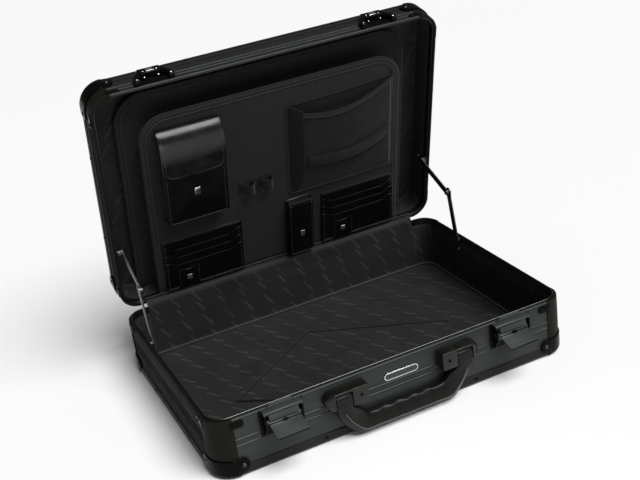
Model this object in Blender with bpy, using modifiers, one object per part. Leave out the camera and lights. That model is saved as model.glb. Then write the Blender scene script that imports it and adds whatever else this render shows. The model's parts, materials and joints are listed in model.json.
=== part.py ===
"""An aluminium attache case that lies open on its bottom, with an organiser in its lid.

The frame is X along the front, Y to the back and Z up, in metres. The origin is the centre of
the base panel's underside. The lid and all that it carries are drawn as they lie when the case
is shut, and hang from an empty on the hinge line that opens them.
"""

import math

import bmesh
import bpy
from mathutils import Vector

# Driving dimensions of the case.
CASE_WIDTH = 0.460
CASE_DEPTH = 0.314
BASE_HEIGHT = 0.074
LID_HEIGHT = 0.043
LID_OPENING = math.radians(76.0)
CORNER_RADIUS = 0.026
WALL = 0.003
PANEL = 0.0015
LINING = 0.0015

# GAP is the clearance between touching pieces and SEAM the one between the rims of base and
# lid. A joined solid runs BITE into the next, and a cutter OVERRUN past what it cuts.
GAP = 0.0003
SEAM = 0.0005
BITE = 0.0010
OVERRUN = 0.0100
ARC_STEPS = 6

HALF_X = CASE_WIDTH / 2
HALF_Y = CASE_DEPTH / 2

# The extruded walls: two ribs stand out of each face, and a trim covers each outer edge.
RIB_PROUD = 0.0008
RIB_WIDTH = 0.0022
BASE_RIBS = (0.0390, 0.0470)
LID_RIBS = (0.0270, 0.0330)
TRIM_HEIGHT = 0.0125
TRIM_PROUD = 0.0008
TRIM_ROUND = 0.0050
TRIM_FLANGE = 0.0110

# The posts that close the corners, with two clips each, and the caps over the outer corners.
POST_PROUD = 0.0009
CLIP_LENGTH = 0.0130
CLIP_HEIGHT = 0.0090
LID_CLIP_HEIGHT = 0.0060
CLIP_EDGE = 0.0025
CLIP_ROOT = 0.0030
POST_OVERLAP = 0.0100
CAP_PROUD = 0.0024
CAP_HEIGHT = 0.0240
CAP_EAR = 0.0120
CAP_EAR_ROOT = 0.0020
CAP_BRIDGE_BACK = 0.0005

# A cap's section: points down its face as (back from the face, up), and up the inner side as
# (back from the trim, up), below its straight stretches.
CAP_FACE = ((0.0010, 0.0028), (0.0028, 0.0006), (0.0036, 0.0003))
CAP_INSIDE = ((0.0012, 0.0022), (0.0002, 0.0048))
CAP_EASE = (0.0006, 0.0008)

# The bright lips inside both rims.
LIP_THICKNESS = 0.0012
LIP_RISE = 0.0020
LIP_DEPTH = 0.0080

# The piano hinge.
HINGE_OFFSET = 0.0030
HINGE_Y = HALF_Y + HINGE_OFFSET
HINGE_HALF_LENGTH = 0.188
HINGE_KNUCKLES = 7
BARREL_RADIUS = 0.0024
BARREL_BORE = 0.0014
HINGE_PIN_RADIUS = 0.0011
LEAF_THICKNESS = 0.0010
LEAF_WIDTH = 0.0084
KNUCKLE_CLEARANCE = 0.0004

# The folding stays: a kite of two equal links between two equal arms of the lid's angle.
STAY_ARM = 0.0930
STAY_DROP = 0.0050
STAY_LINK = 0.0693
STAY_WIDTH = 0.0085
STAY_THICKNESS = 0.0016
STAY_EYE = 0.0062
STAY_NECK = 0.0080
STAY_PIN_RADIUS = 0.0018
STAY_LOWER_X = HALF_X - 0.0082
STAY_UPPER_X = STAY_LOWER_X - 0.0022
STAY_BOSS_RADIUS = 0.0045
STAY_BOSS_CLEARANCE = 0.0004
STAY_BOSS_END = HALF_X - WALL - GAP - LINING - STAY_BOSS_CLEARANCE
STAY_HEAD = 0.0014
STAY_HEAD_RADIUS = 0.0035
STAY_BITE = 0.0002

# The handle and its two brackets.
HANDLE_PIVOT = Vector((0.0, -HALF_Y - 0.0100, 0.0570))
HANDLE_OUTER_TOP = 0.0880
HANDLE_OUTER_FOOT = 0.0700
HANDLE_ARM = 0.0200
HANDLE_GRIP = 0.0240
HANDLE_DROP = 0.0540
HANDLE_THICKNESS = 0.0140
HANDLE_SHOULDER_IN = 0.0060
HANDLE_SHOULDER_DROP = 0.0300
HANDLE_ELBOW = 0.0120
HANDLE_OUTER_ROUND = 0.0120
HANDLE_INNER_ROUND = 0.0100
HANDLE_INNER_END = 0.0460
HANDLE_ARM_FOOT = 0.0125
HANDLE_HEAD_RADIUS = 0.0068
HANDLE_PIN_RADIUS = 0.0022
HANDLE_PIN_ROOT = 0.0020
BRACKET_INNER = 0.0480
BRACKET_OUTER = 0.0990
BRACKET_HEIGHT = 0.0220
BRACKET_DEPTH = 0.0160
BRACKET_BACK = 0.0016
BRACKET_BROW = 0.0030
BRACKET_TIP = 0.6

# The badge under the seam: an oblong with round ends.
BADGE_X = 0.0020
BADGE_LOW = 0.0505
BADGE_HIGH = 0.0600
BADGE_HALF_RUN = 0.0175
BADGE_THICKNESS = 0.0010

# The two latches and their keepers.
LATCH_X = 0.148
LATCH_WIDTH = 0.0460
LATCH_FLANGE = 0.0520
LATCH_LOW = 0.0420
LATCH_CHEEK = 0.0020
LATCH_DEPTH = 0.0110
LATCH_BACK = 0.0015
LATCH_TOP_DROP = 0.0005
CHEEK_FOOT = 0.0010
CHEEK_HEEL = 0.0030
CHEEK_RISE = 0.0120
CHEEK_BROW = 0.0030
LEVER_PIVOT_OUT = 0.0080
LEVER_PIVOT_Z = 0.0605
LEVER_BARREL = 0.0024
LEVER_PIN = 0.0014
LEVER_ROOT = 0.0090
LEVER_ROOT_DROP = 0.0045
LEVER_FLAP = 0.0160
LEVER_FLAP_DROP = 0.0050
LEVER_SHEET = 0.0018
LEVER_SIDE_ROOM = 0.0020
TONGUE_HALF = 0.0165
TONGUE_TOP = 0.0060
TONGUE_LENGTH = 0.0300
TONGUE_SHEET = 0.0018
TONGUE_CHAMFER = 0.0040
KEEPER_HALF = 0.0245
KEEPER_DEPTH = 0.0060
KEEPER_FOOT = 0.0025
KEEPER_SHOULDER = 0.0110
KEEPER_CROWN = (0.0130, 0.0310)
KEEPER_MOUTH_ROOM = 0.0010
KEEPER_MOUTH_TOP = 0.0140
KEEPER_MOUTH_CROWN = (0.0110, 0.0195)
KEEPER_EDGE = 0.0008

# The organiser. Heights run from the hinge line towards the lid's front, depths from the seam
# plane into the lid.
BOARD_HALF = 0.178
BOARD_FOOT = 0.008
BOARD_TOP = 0.271
BOARD_FACE = 0.0015
BOARD_THICKNESS = 0.0038
BOARD_RADIUS = 0.036
BACK_BOARD_HALF = 0.198
BACK_BOARD_TOP = 0.292
BACK_BOARD_FACE = 0.028
BACK_BOARD_THICKNESS = 0.003
BACK_BOARD_RADIUS = 0.038
GUSSET_THICKNESS = 0.004
GUSSET_TOP = 0.250
LEATHER = 0.0020

# What the organiser's front board carries, as spans in X and in height, and depths.
PHONE_POUCH = ((-0.159, -0.078), (0.120, 0.251), 0.0190)
STICK_POUCH = ((0.007, 0.043), (0.008, 0.096), 0.0120)
CABLE_POCKET = ((0.020, 0.166), (0.104, 0.236), 0.0150)
CARD_FOOT = 0.010
CARD_DEPTH = 0.0030
CARD_POCKETS = {"left": ((-0.167, -0.058), 0.088), "right": ((0.060, 0.169), 0.090)}

PEN_LOOP_XS = (-0.045, -0.019)
PEN_LOOP_ENDS = (-0.057, -0.007)
PEN_LOOP_RADIUS = 0.0056
PEN_LOOP_WALL = 0.0014
PEN_LOOP_LIFT = 0.0008
PEN_LOOP_FLAT = 0.0016
PEN_LOOP_HEIGHT = 0.130
PEN_LOOP_WIDTH = 0.0150

STRAP_SPAN = (0.034, 0.160)
STRAP_HEIGHTS = (0.146, 0.163)
STRAP_FRONT = -0.0230
STRAP_END = 0.0060
STRAP_SHEET = 0.0016

FLAP_SPAN = (-0.160, -0.077)
FLAP_HEIGHT = 0.2535
FLAP_FRONT = -0.0212
FLAP_INNER = -0.0194
FLAP_DROP = 0.0640

COLLECTION = "attache_case"


def clear_scene():
    for item in list(bpy.data.objects):
        bpy.data.objects.remove(item)


def new_collection(name):
    collection = bpy.data.collections.new(name)
    bpy.context.scene.collection.children.link(collection)
    return collection


def new_material(name, colour, roughness, metallic):
    material = bpy.data.materials.new(name)
    material.use_nodes = True
    shader = material.node_tree.nodes["Principled BSDF"]
    shader.inputs["Base Color"].default_value = (*colour, 1.0)
    shader.inputs["Roughness"].default_value = roughness
    shader.inputs["Metallic"].default_value = metallic
    return material


def move_to(item, collection):
    for owner in list(item.users_collection):
        owner.objects.unlink(item)
    collection.objects.link(item)


def keep(item, name, look, parent=None, smooth=False):
    """Names a finished piece, gives it its own material and hangs it on its empty."""
    colour, roughness, metallic = look
    item.name = name
    item.data.name = name
    item.data.materials.clear()
    item.data.materials.append(new_material(name, colour, roughness, metallic))
    if smooth:
        item.data.shade_smooth()
        item.data.set_sharp_from_angle(angle=math.radians(40))
    item.parent = parent
    move_to(item, bpy.data.collections[COLLECTION])
    return item


def empty(name, location, turn=0.0, parent=None):
    """An empty on a joint's axis, turned about X."""
    item = bpy.data.objects.new(name, None)
    bpy.data.collections[COLLECTION].objects.link(item)
    item.empty_display_size = 0.02
    item.location = location
    item.rotation_euler = (turn, 0.0, 0.0)
    item.parent = parent
    return item


def from_bmesh(shape):
    bmesh.ops.recalc_face_normals(shape, faces=shape.faces)
    mesh = bpy.data.meshes.new("piece")
    shape.to_mesh(mesh)
    shape.free()
    item = bpy.data.objects.new("piece", mesh)
    bpy.context.scene.collection.objects.link(item)
    return item


def block(low, high):
    """A box between two corners."""
    low, high = Vector(low), Vector(high)
    shape = bmesh.new()
    bmesh.ops.create_cube(shape, size=1.0)
    bmesh.ops.scale(shape, vec=high - low, verts=shape.verts)
    bmesh.ops.translate(shape, vec=(low + high) / 2, verts=shape.verts)
    return from_bmesh(shape)


def rod(start, end, radius, steps=16):
    """A cylinder from start to end."""
    start, end = Vector(start), Vector(end)
    shape = bmesh.new()
    bmesh.ops.create_cone(
        shape,
        cap_ends=True,
        segments=steps,
        radius1=radius,
        radius2=radius,
        depth=(end - start).length,
    )
    turn = Vector((0, 0, 1)).rotation_difference(end - start).to_matrix()
    bmesh.ops.rotate(shape, cent=(0, 0, 0), matrix=turn, verts=shape.verts)
    bmesh.ops.translate(shape, vec=(start + end) / 2, verts=shape.verts)
    return from_bmesh(shape)


def loft(loops, wrap=False):
    """A skin over loops of equally many points, closed into a ring or capped at both ends."""
    shape = bmesh.new()
    rows = [[shape.verts.new(point) for point in loop] for loop in loops]
    following = rows[1:] + rows[:1] if wrap else rows[1:]
    for row, after in zip(rows, following):
        for index in range(len(row)):
            beside = (index + 1) % len(row)
            shape.faces.new((row[index], row[beside], after[beside], after[index]))
    if not wrap:
        shape.faces.new(rows[0])
        shape.faces.new(rows[-1])
    return from_bmesh(shape)


def arc(centre, radius, first, last, steps=ARC_STEPS):
    """Points on a flat arc, with its angles in degrees."""
    angles = [math.radians(first + (last - first) * step / steps) for step in range(steps + 1)]
    return [(centre[0] + radius * math.cos(a), centre[1] + radius * math.sin(a)) for a in angles]


def rounded_rectangle(half_x, half_y, radius, steps=ARC_STEPS):
    points = []
    for sign_x, sign_y, first in ((1, -1, -90), (1, 1, 0), (-1, 1, 90), (-1, -1, 180)):
        centre = (sign_x * (half_x - radius), sign_y * (half_y - radius))
        points += arc(centre, radius, first, first + 90, steps)
    return points


def mirrored(points):
    """An outline's points on the other side of its upright axis, in the order that carries it on."""
    return [(-across, along) for across, along in reversed(points)]


def plate(outlines, thickness):
    """A flat outline in XY, with any further outlines as its holes, drawn out along Z from 0."""
    curve = bpy.data.curves.new("outline", "CURVE")
    curve.dimensions = "2D"
    curve.fill_mode = "BOTH"
    curve.extrude = thickness / 2
    for outline in outlines:
        spline = curve.splines.new("POLY")
        spline.points.add(len(outline) - 1)
        for point, (x, y) in zip(spline.points, outline):
            point.co = (x, y, 0.0, 1.0)
        spline.use_cyclic_u = True
    item = bpy.data.objects.new("outline", curve)
    bpy.context.scene.collection.objects.link(item)
    bpy.context.view_layer.update()
    mesh = bpy.data.meshes.new_from_object(item.evaluated_get(bpy.context.evaluated_depsgraph_get()))
    bpy.data.objects.remove(item)
    shape = bmesh.new()
    shape.from_mesh(mesh)
    bmesh.ops.remove_doubles(shape, verts=shape.verts, dist=0.00001)
    bmesh.ops.translate(shape, vec=(0, 0, thickness / 2), verts=shape.verts)
    return from_bmesh(shape)


def transformed(item, columns, origin=(0, 0, 0)):
    """Moves a piece's points so that its local X, Y and Z follow the given directions."""
    axes = [Vector(column) for column in columns]
    for vertex in item.data.vertices:
        x, y, z = vertex.co
        vertex.co = Vector(origin) + axes[0] * x + axes[1] * y + axes[2] * z
    if axes[0].cross(axes[1]).dot(axes[2]) < 0:
        item.data.flip_normals()
    return item


PLAIN = ((1, 0, 0), (0, 1, 0), (0, 0, 1))
ALONG_X = ((0, 1, 0), (0, 0, 1), (1, 0, 0))


def section(outlines, start_x, end_x):
    """An outline of (y, z) points drawn out along X."""
    return transformed(plate(outlines, end_x - start_x), ALONG_X, (start_x, 0, 0))


def front_view(outlines, back_y, thickness):
    """An outline of (x, z) points drawn out towards the front from back_y."""
    return transformed(plate(outlines, thickness), ((1, 0, 0), (0, 0, 1), (0, -1, 0)), (0, back_y, 0))


def combine(item, other, operation):
    """Joins another solid to a piece or cuts it away, and leaves one plain mesh."""
    modifier = item.modifiers.new(operation, "BOOLEAN")
    modifier.operation = operation
    modifier.object = other
    bpy.context.view_layer.update()
    graph = bpy.context.evaluated_depsgraph_get()
    mesh = bpy.data.meshes.new_from_object(item.evaluated_get(graph))
    item.modifiers.clear()
    item.data = mesh
    bpy.data.objects.remove(other)
    return item


def join(item, *others):
    for other in others:
        combine(item, other, "UNION")
    return item


def cut(item, *others):
    for other in others:
        combine(item, other, "DIFFERENCE")
    return item


def bevelled(item, width, segments=2, angle=30):
    modifier = item.modifiers.new("rounded edges", "BEVEL")
    modifier.width = width
    modifier.segments = segments
    modifier.limit_method = "ANGLE"
    modifier.angle_limit = math.radians(angle)
    return item


def around_corner(profile, sign_x, sign_y, inset=0.0):
    """Carries (outward, up) points round one corner of the case. Inset holds back both ends."""
    centre = Vector((sign_x * (HALF_X - CORNER_RADIUS), sign_y * (HALF_Y - CORNER_RADIUS), 0))
    back = math.degrees(inset / CORNER_RADIUS)
    loops = []
    for across, along in arc((0, 0), 1.0, back, 90 - back):
        outward = Vector((sign_x * across, sign_y * along, 0))
        loops.append(
            [centre + outward * (CORNER_RADIUS + out) + Vector((0, 0, up)) for out, up in profile]
        )
    return loft(loops)


def around_case(profile):
    """Carries (outward, up) points once round the case's outline."""
    loops = []
    for sign_x, sign_y, first in ((1, -1, -90), (1, 1, 0), (-1, 1, 90), (-1, -1, 180)):
        centre = Vector((sign_x * (HALF_X - CORNER_RADIUS), sign_y * (HALF_Y - CORNER_RADIUS), 0))
        for across, along in arc((0, 0), 1.0, first, first + 90):
            outward = Vector((across, along, 0))
            loops.append(
                [centre + outward * (CORNER_RADIUS + out) + Vector((0, 0, up)) for out, up in profile]
            )
    return loft(loops, wrap=True)


# The looks of the materials: colour, roughness, metallic.
DARK_ALUMINIUM = ((0.060, 0.070, 0.066), 0.38, 0.85)
BRIGHT_ALUMINIUM = ((0.55, 0.56, 0.55), 0.30, 0.95)
BLACK_MOULDING = ((0.020, 0.020, 0.018), 0.22, 0.0)
MATTE_MOULDING = ((0.045, 0.045, 0.036), 0.50, 0.0)
PANEL_SHEET = ((0.050, 0.056, 0.053), 0.42, 0.80)
DIE_CASTING = ((0.030, 0.030, 0.026), 0.28, 0.60)
STEEL = ((0.60, 0.60, 0.58), 0.28, 1.0)
LINING_FABRIC = ((0.050, 0.050, 0.050), 0.85, 0.0)
BOARD_FABRIC = ((0.060, 0.060, 0.060), 0.80, 0.0)
BLACK_LEATHER = ((0.018, 0.018, 0.018), 0.40, 0.0)
ELASTIC = ((0.025, 0.025, 0.025), 0.80, 0.0)


def wall_profile(low, high, ribs):
    """The section of a wall as (outward, up) points, with its ribs standing out."""
    points = [(-WALL, low), (0.0, low)]
    for rib in ribs:
        half = RIB_WIDTH / 2
        points += [(0.0, rib - half), (RIB_PROUD, rib - half / 2), (RIB_PROUD, rib + half / 2)]
        points += [(0.0, rib + half)]
    return points + [(0.0, high), (-WALL, high)]


def walls(prefix, profile, parent, offset):
    """The four straight walls of the base or of the lid."""
    run_x = HALF_X - CORNER_RADIUS
    run_y = HALF_Y - CORNER_RADIUS
    sides = {
        "front": (Vector((0, -1, 0)), Vector((1, 0, 0)), HALF_Y, run_x),
        "rear": (Vector((0, 1, 0)), Vector((1, 0, 0)), HALF_Y, run_x),
        "left": (Vector((-1, 0, 0)), Vector((0, 1, 0)), HALF_X, run_y),
        "right": (Vector((1, 0, 0)), Vector((0, 1, 0)), HALF_X, run_y),
    }
    for side, (outward, along, reach, run) in sides.items():
        loops = [
            [outward * (reach + out) + along * end + Vector((0, 0, up)) for out, up in profile]
            for end in (-run, run)
        ]
        item = keep(loft(loops), f"{prefix}_wall_{side}", DARK_ALUMINIUM, parent)
        item.location = offset


CORNERS = {"front_left": (-1, -1), "front_right": (1, -1), "rear_left": (-1, 1), "rear_right": (1, 1)}


def clips(sign_x, sign_y, low, high):
    """The two clips of a corner post, each a thin plate over the end of a wall."""
    front = HALF_Y + POST_PROUD
    side = HALF_X + POST_PROUD
    inner_x = HALF_X - CORNER_RADIUS
    inner_y = HALF_Y - CORNER_RADIUS
    spans = (
        ((inner_x - CLIP_LENGTH, HALF_Y + GAP), (inner_x + CLIP_ROOT, front)),
        ((HALF_X + GAP, inner_y - CLIP_LENGTH), (side, inner_y + CLIP_ROOT)),
    )
    made = []
    for (x0, y0), (x1, y1) in spans:
        xs = sorted((sign_x * x0, sign_x * x1))
        ys = sorted((sign_y * y0, sign_y * y1))
        made.append(block((xs[0], ys[0], low), (xs[1], ys[1], high)))
    return made


def cap_profile():
    """The section of a corner cap: it stands off the post and follows the trim's round edge."""
    inner = TRIM_PROUD + 2 * GAP
    outer = CAP_PROUD
    top = CAP_HEIGHT
    ease_in, ease_down = CAP_EASE
    points = [(inner, top), (outer - ease_in, top), (outer, top - ease_down)]
    points += [(outer, TRIM_ROUND + BITE)]
    points += [(outer - back, up) for back, up in CAP_FACE]
    return points + [(inner - back, up) for back, up in CAP_INSIDE]


def cap_ears(sign_x, sign_y):
    """The ears that run from a cap along both walls, with rounded ends."""
    inner = TRIM_PROUD + 2 * GAP
    ear_low = TRIM_ROUND + BITE
    reach_x = HALF_X - CORNER_RADIUS
    reach_y = HALF_Y - CORNER_RADIUS
    half = (CAP_HEIGHT - ear_low) / 2
    middle = ear_low + half
    made = []
    for axis, run, plane in (("x", reach_x, HALF_Y), ("y", reach_y, HALF_X)):
        start = run + CAP_EAR_ROOT
        end = run - CAP_EAR
        outline = [(start, ear_low), (start, CAP_HEIGHT)]
        outline += arc((end + 0.5 * half, middle), half, 90, 270, 8)
        outline = [(min(max(along, end), start), up) for along, up in outline]
        body = plate([outline], CAP_PROUD - inner)
        if axis == "x":
            columns = ((sign_x, 0, 0), (0, 0, 1), (0, sign_y, 0))
            origin = (0, sign_y * (plane + inner), 0)
        else:
            columns = ((0, sign_y, 0), (0, 0, 1), (sign_x, 0, 0))
            origin = (sign_x * (plane + inner), 0, 0)
        made.append(transformed(body, columns, origin))
    return made


def trim_profile():
    """The section of the edge trim: up over the wall's foot, round the edge, in under the panel."""
    outer = TRIM_PROUD
    points = [(outer, TRIM_HEIGHT), (outer, TRIM_ROUND)]
    points += arc((outer - TRIM_ROUND, TRIM_ROUND), TRIM_ROUND, -15, -90, 4)
    return points + [(-TRIM_FLANGE, 0.0), (-TRIM_FLANGE, PANEL), (-WALL, PANEL), (-WALL, TRIM_HEIGHT)]


def lining(low, high, open_up):
    """A tray of lining: a floor and walls, open at its rim."""
    reach = WALL + GAP
    floor, rim = (low, high) if open_up else (high, low)
    step = LINING if open_up else -LINING

    def loop(inset, up):
        outline = rounded_rectangle(HALF_X - inset, HALF_Y - inset, CORNER_RADIUS - inset)
        return [(x, y, up) for x, y in outline]

    return loft(
        [loop(reach, floor), loop(reach, rim), loop(reach + LINING, rim), loop(reach + LINING, floor + step)]
    )


def lip(low, high):
    """A bright lip inside the rim, as (outward, up) points carried round the case."""
    outer = -WALL - GAP
    inner = outer - LIP_THICKNESS
    return around_case([(outer, low), (outer, high), (inner, high), (inner, low)])


def build_shell(prefix, height, ribs, parent, offset, to_lid):
    """Walls, panel, edge trim, lip and lining. The lid's are those of a base turned over."""

    def place(item, name, look, smooth=True):
        keep(item, f"{prefix}_{name}", look, parent, smooth).location = offset

    def turned(profile):
        return [(out, height - up) for out, up in profile] if to_lid else profile

    rim = height - SEAM if to_lid else height
    levels = wall_profile(TRIM_HEIGHT + GAP, rim, ribs)
    walls(prefix, turned(levels), parent, offset)
    place(around_case(turned(trim_profile())), "edge_trim", MATTE_MOULDING)
    inset = TRIM_FLANGE + GAP
    sheet = plate([rounded_rectangle(HALF_X - inset, HALF_Y - inset, CORNER_RADIUS - inset)], PANEL)
    lift = height - PANEL if to_lid else 0.0
    place(transformed(sheet, PLAIN, (0, 0, lift)), "panel", PANEL_SHEET, smooth=False)
    floor = PANEL + GAP
    if to_lid:
        lip_low = LIP_RISE + 2 * GAP
        place(lip(lip_low, lip_low + LIP_DEPTH), "rim_lip", BRIGHT_ALUMINIUM)
        place(lining(lip_low + LIP_DEPTH + GAP, height - floor, False), "lining", LINING_FABRIC)
    else:
        lip_low = height - LIP_DEPTH
        place(lip(lip_low, height + LIP_RISE), "rim_lip", BRIGHT_ALUMINIUM)
        place(lining(floor, lip_low - GAP, True), "lining", LINING_FABRIC)


def build_base_corners():
    for corner, (sign_x, sign_y) in CORNERS.items():
        foot = CAP_HEIGHT - POST_OVERLAP
        post = around_corner(
            [(-WALL, foot), (POST_PROUD, foot), (POST_PROUD, BASE_HEIGHT), (-WALL, BASE_HEIGHT)],
            sign_x,
            sign_y,
            inset=GAP,
        )
        clip_top = BASE_HEIGHT - CLIP_EDGE
        post = join(post, *clips(sign_x, sign_y, clip_top - CLIP_HEIGHT, clip_top))
        keep(post, f"base_post_{corner}", MATTE_MOULDING, smooth=True)
        cap = around_corner(cap_profile(), sign_x, sign_y)
        cap = join(cap, *cap_ears(sign_x, sign_y))
        keep(cap, f"base_cap_{corner}", BLACK_MOULDING, smooth=True)


def build_lid_corners(parent, offset):
    """The lid's corners: a short post with its clips and the cap over it, in one moulding."""
    for corner, (sign_x, sign_y) in CORNERS.items():
        low, high = SEAM, LID_HEIGHT - TRIM_HEIGHT - GAP
        post = around_corner(
            [(-WALL, low), (POST_PROUD, low), (POST_PROUD, high), (-WALL, high)],
            sign_x,
            sign_y,
            inset=GAP,
        )
        post = join(post, *clips(sign_x, sign_y, CLIP_EDGE, CLIP_EDGE + LID_CLIP_HEIGHT))
        cap = around_corner([(out, LID_HEIGHT - up) for out, up in cap_profile()], sign_x, sign_y)
        ears = cap_ears(sign_x, sign_y)
        for ear in ears:
            transformed(ear, ((1, 0, 0), (0, 1, 0), (0, 0, -1)), (0, 0, LID_HEIGHT))
        cap = join(cap, *ears)
        bridge_low, bridge_high = LID_HEIGHT - CAP_HEIGHT + BITE, high - BITE
        bridge_out = CAP_PROUD - CAP_BRIDGE_BACK
        bridge = [(0.0, bridge_low), (bridge_out, bridge_low)]
        bridge += [(bridge_out, bridge_high), (0.0, bridge_high)]
        cap = join(cap, around_corner(bridge, sign_x, sign_y, inset=2 * GAP))
        corner_piece = keep(join(post, cap), f"lid_corner_{corner}", BLACK_MOULDING, parent, smooth=True)
        corner_piece.location = offset


def build_hinge(lid, offset):
    """The piano hinge: two leaves whose knuckles take turns on one pin."""
    pitch = 2 * HINGE_HALF_LENGTH / HINGE_KNUCKLES
    sheet_in = HALF_Y + GAP
    sheet_out = sheet_in + LEAF_THICKNESS
    clear = BARREL_RADIUS + 2 * GAP

    def leaf(first, to_lid):
        """The leaf below the pin, or the one above it, in the base's frame."""
        side = 1 if to_lid else -1

        def heights(near, far):
            return sorted((BASE_HEIGHT + side * near, BASE_HEIGHT + side * far))

        low, high = heights(clear, LEAF_WIDTH)
        item = block((-HINGE_HALF_LENGTH, sheet_in, low), (HINGE_HALF_LENGTH, sheet_out, high))
        for knuckle in range(first, HINGE_KNUCKLES, 2):
            start = -HINGE_HALF_LENGTH + knuckle * pitch + GAP
            end = start + pitch - 2 * GAP
            low, high = heights(KNUCKLE_CLEARANCE, clear + BITE)
            tab = block((start, sheet_in, low), (end, sheet_out, high))
            barrel = rod((start, HINGE_Y, BASE_HEIGHT), (end, HINGE_Y, BASE_HEIGHT), BARREL_RADIUS)
            item = join(item, tab, barrel)
        bore_end = HINGE_HALF_LENGTH + 2 * BITE
        bore = rod((-bore_end, HINGE_Y, BASE_HEIGHT), (bore_end, HINGE_Y, BASE_HEIGHT), BARREL_BORE)
        return cut(item, bore)

    keep(leaf(0, False), "hinge_base_leaf", DIE_CASTING, smooth=True)
    lid_leaf = transformed(leaf(1, True), PLAIN, (0, 0, -BASE_HEIGHT))
    keep(lid_leaf, "hinge_lid_leaf", DIE_CASTING, lid, smooth=True).location = offset
    ends = HINGE_HALF_LENGTH + BITE
    pin = rod((-ends, HINGE_Y, BASE_HEIGHT), (ends, HINGE_Y, BASE_HEIGHT), HINGE_PIN_RADIUS)
    keep(pin, "hinge_pin", STEEL, smooth=True)


def build_handle():
    """Two brackets on the front wall and the handle that hangs between their pins."""
    pivot = HANDLE_PIVOT
    slot_in = HANDLE_OUTER_TOP - HANDLE_ARM - 2 * GAP
    slot_out = HANDLE_OUTER_TOP + 2 * GAP
    back = -HALF_Y - RIB_PROUD - GAP
    for side, sign in (("left", -1), ("right", 1)):
        half = BRACKET_HEIGHT / 2
        tip = half * BRACKET_TIP
        outline = [(BRACKET_INNER, -half), (BRACKET_OUTER - half, -half)]
        outline += arc((BRACKET_OUTER - tip, 0), tip, -60, 60, 6)
        outline += [(BRACKET_OUTER - half, half), (BRACKET_INNER, half)]
        outline = [(sign * x, pivot.z + z) for x, z in outline]
        body = front_view([outline], back, BRACKET_DEPTH)
        slot_x = sorted((sign * slot_in, sign * slot_out))
        slot = block(
            (slot_x[0], -HALF_Y - BRACKET_DEPTH - OVERRUN, pivot.z - BRACKET_HEIGHT),
            (slot_x[1], back - BRACKET_BACK, pivot.z + half - BRACKET_BROW),
        )
        body = cut(body, slot)
        pin_ends = (sign * (slot_in - HANDLE_PIN_ROOT), sign * (slot_out + HANDLE_PIN_ROOT))
        pin = rod((pin_ends[0], pivot.y, pivot.z), (pin_ends[1], pivot.y, pivot.z), HANDLE_PIN_RADIUS)
        keep(join(body, pin), f"handle_bracket_{side}", DIE_CASTING, smooth=True)

    hang = empty("handle_axis", pivot)
    foot = -HANDLE_DROP
    inner_foot = foot + HANDLE_GRIP
    turn = HANDLE_OUTER_ROUND
    outer = [(-HANDLE_OUTER_TOP + HANDLE_ARM, 0.0), (-HANDLE_OUTER_TOP, 0.0)]
    outer += [(-HANDLE_OUTER_TOP, -HANDLE_ELBOW)]
    outer += [(-HANDLE_OUTER_TOP + HANDLE_SHOULDER_IN, -HANDLE_SHOULDER_DROP)]
    outer += arc((-HANDLE_OUTER_FOOT + turn, foot + turn), turn, 200, 270, 5)
    inner_turn = HANDLE_INNER_ROUND
    inner = arc((-HANDLE_INNER_END, inner_foot + inner_turn), inner_turn, 270, 195, 4)
    inner += [(-HANDLE_OUTER_TOP + HANDLE_ARM, -HANDLE_ARM_FOOT)]
    outline = outer + mirrored(outer) + mirrored(inner) + inner
    body = front_view([outline], HANDLE_THICKNESS / 2, HANDLE_THICKNESS)
    for sign in (-1, 1):
        inner_end = sign * (HANDLE_OUTER_TOP - HANDLE_ARM + GAP)
        outer_end = sign * (HANDLE_OUTER_TOP - GAP)
        body = join(body, rod((inner_end, 0, 0), (outer_end, 0, 0), HANDLE_HEAD_RADIUS, 24))
    bore = HANDLE_PIN_RADIUS + GAP
    body = cut(body, rod((-CASE_WIDTH / 2, 0, 0), (CASE_WIDTH / 2, 0, 0), bore))
    keep(body, "handle", BLACK_MOULDING, hang, smooth=True)


def build_badge():
    half = (BADGE_HIGH - BADGE_LOW) / 2
    middle = (BADGE_LOW + BADGE_HIGH) / 2
    outline = arc((BADGE_X + BADGE_HALF_RUN, middle), half, -90, 90)
    outline += arc((BADGE_X - BADGE_HALF_RUN, middle), half, 90, 270)
    keep(front_view([outline], -HALF_Y - GAP, BADGE_THICKNESS), "badge_plate", STEEL)


def latch_housing(x):
    """A back plate with two cheeks that carry the lever's pins."""
    back = -HALF_Y - RIB_PROUD - GAP
    top = BASE_HEIGHT - LATCH_TOP_DROP
    half_flange, half = LATCH_FLANGE / 2, LATCH_WIDTH / 2
    face = back - LATCH_BACK
    root = face + LATCH_BACK / 3
    body = block((x - half_flange, face, LATCH_LOW), (x + half_flange, back, top))
    for sign in (-1, 1):
        edges = sorted((x + sign * half, x + sign * (half - LATCH_CHEEK)))
        reach = back - LATCH_DEPTH
        foot = LATCH_LOW + CHEEK_FOOT
        profile = [(root, foot), (face - CHEEK_HEEL, foot)]
        profile += [(reach, LATCH_LOW + CHEEK_RISE), (reach, top - CHEEK_BROW)]
        profile += [(reach + CHEEK_BROW, top), (root, top)]
        body = join(body, section([profile], *edges))
    axis_y = -HALF_Y - LEVER_PIVOT_OUT
    left, right = (x - half_flange, axis_y, LEVER_PIVOT_Z), (x + half_flange, axis_y, LEVER_PIVOT_Z)
    return cut(body, rod(left, right, LEVER_PIN + GAP))


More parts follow.
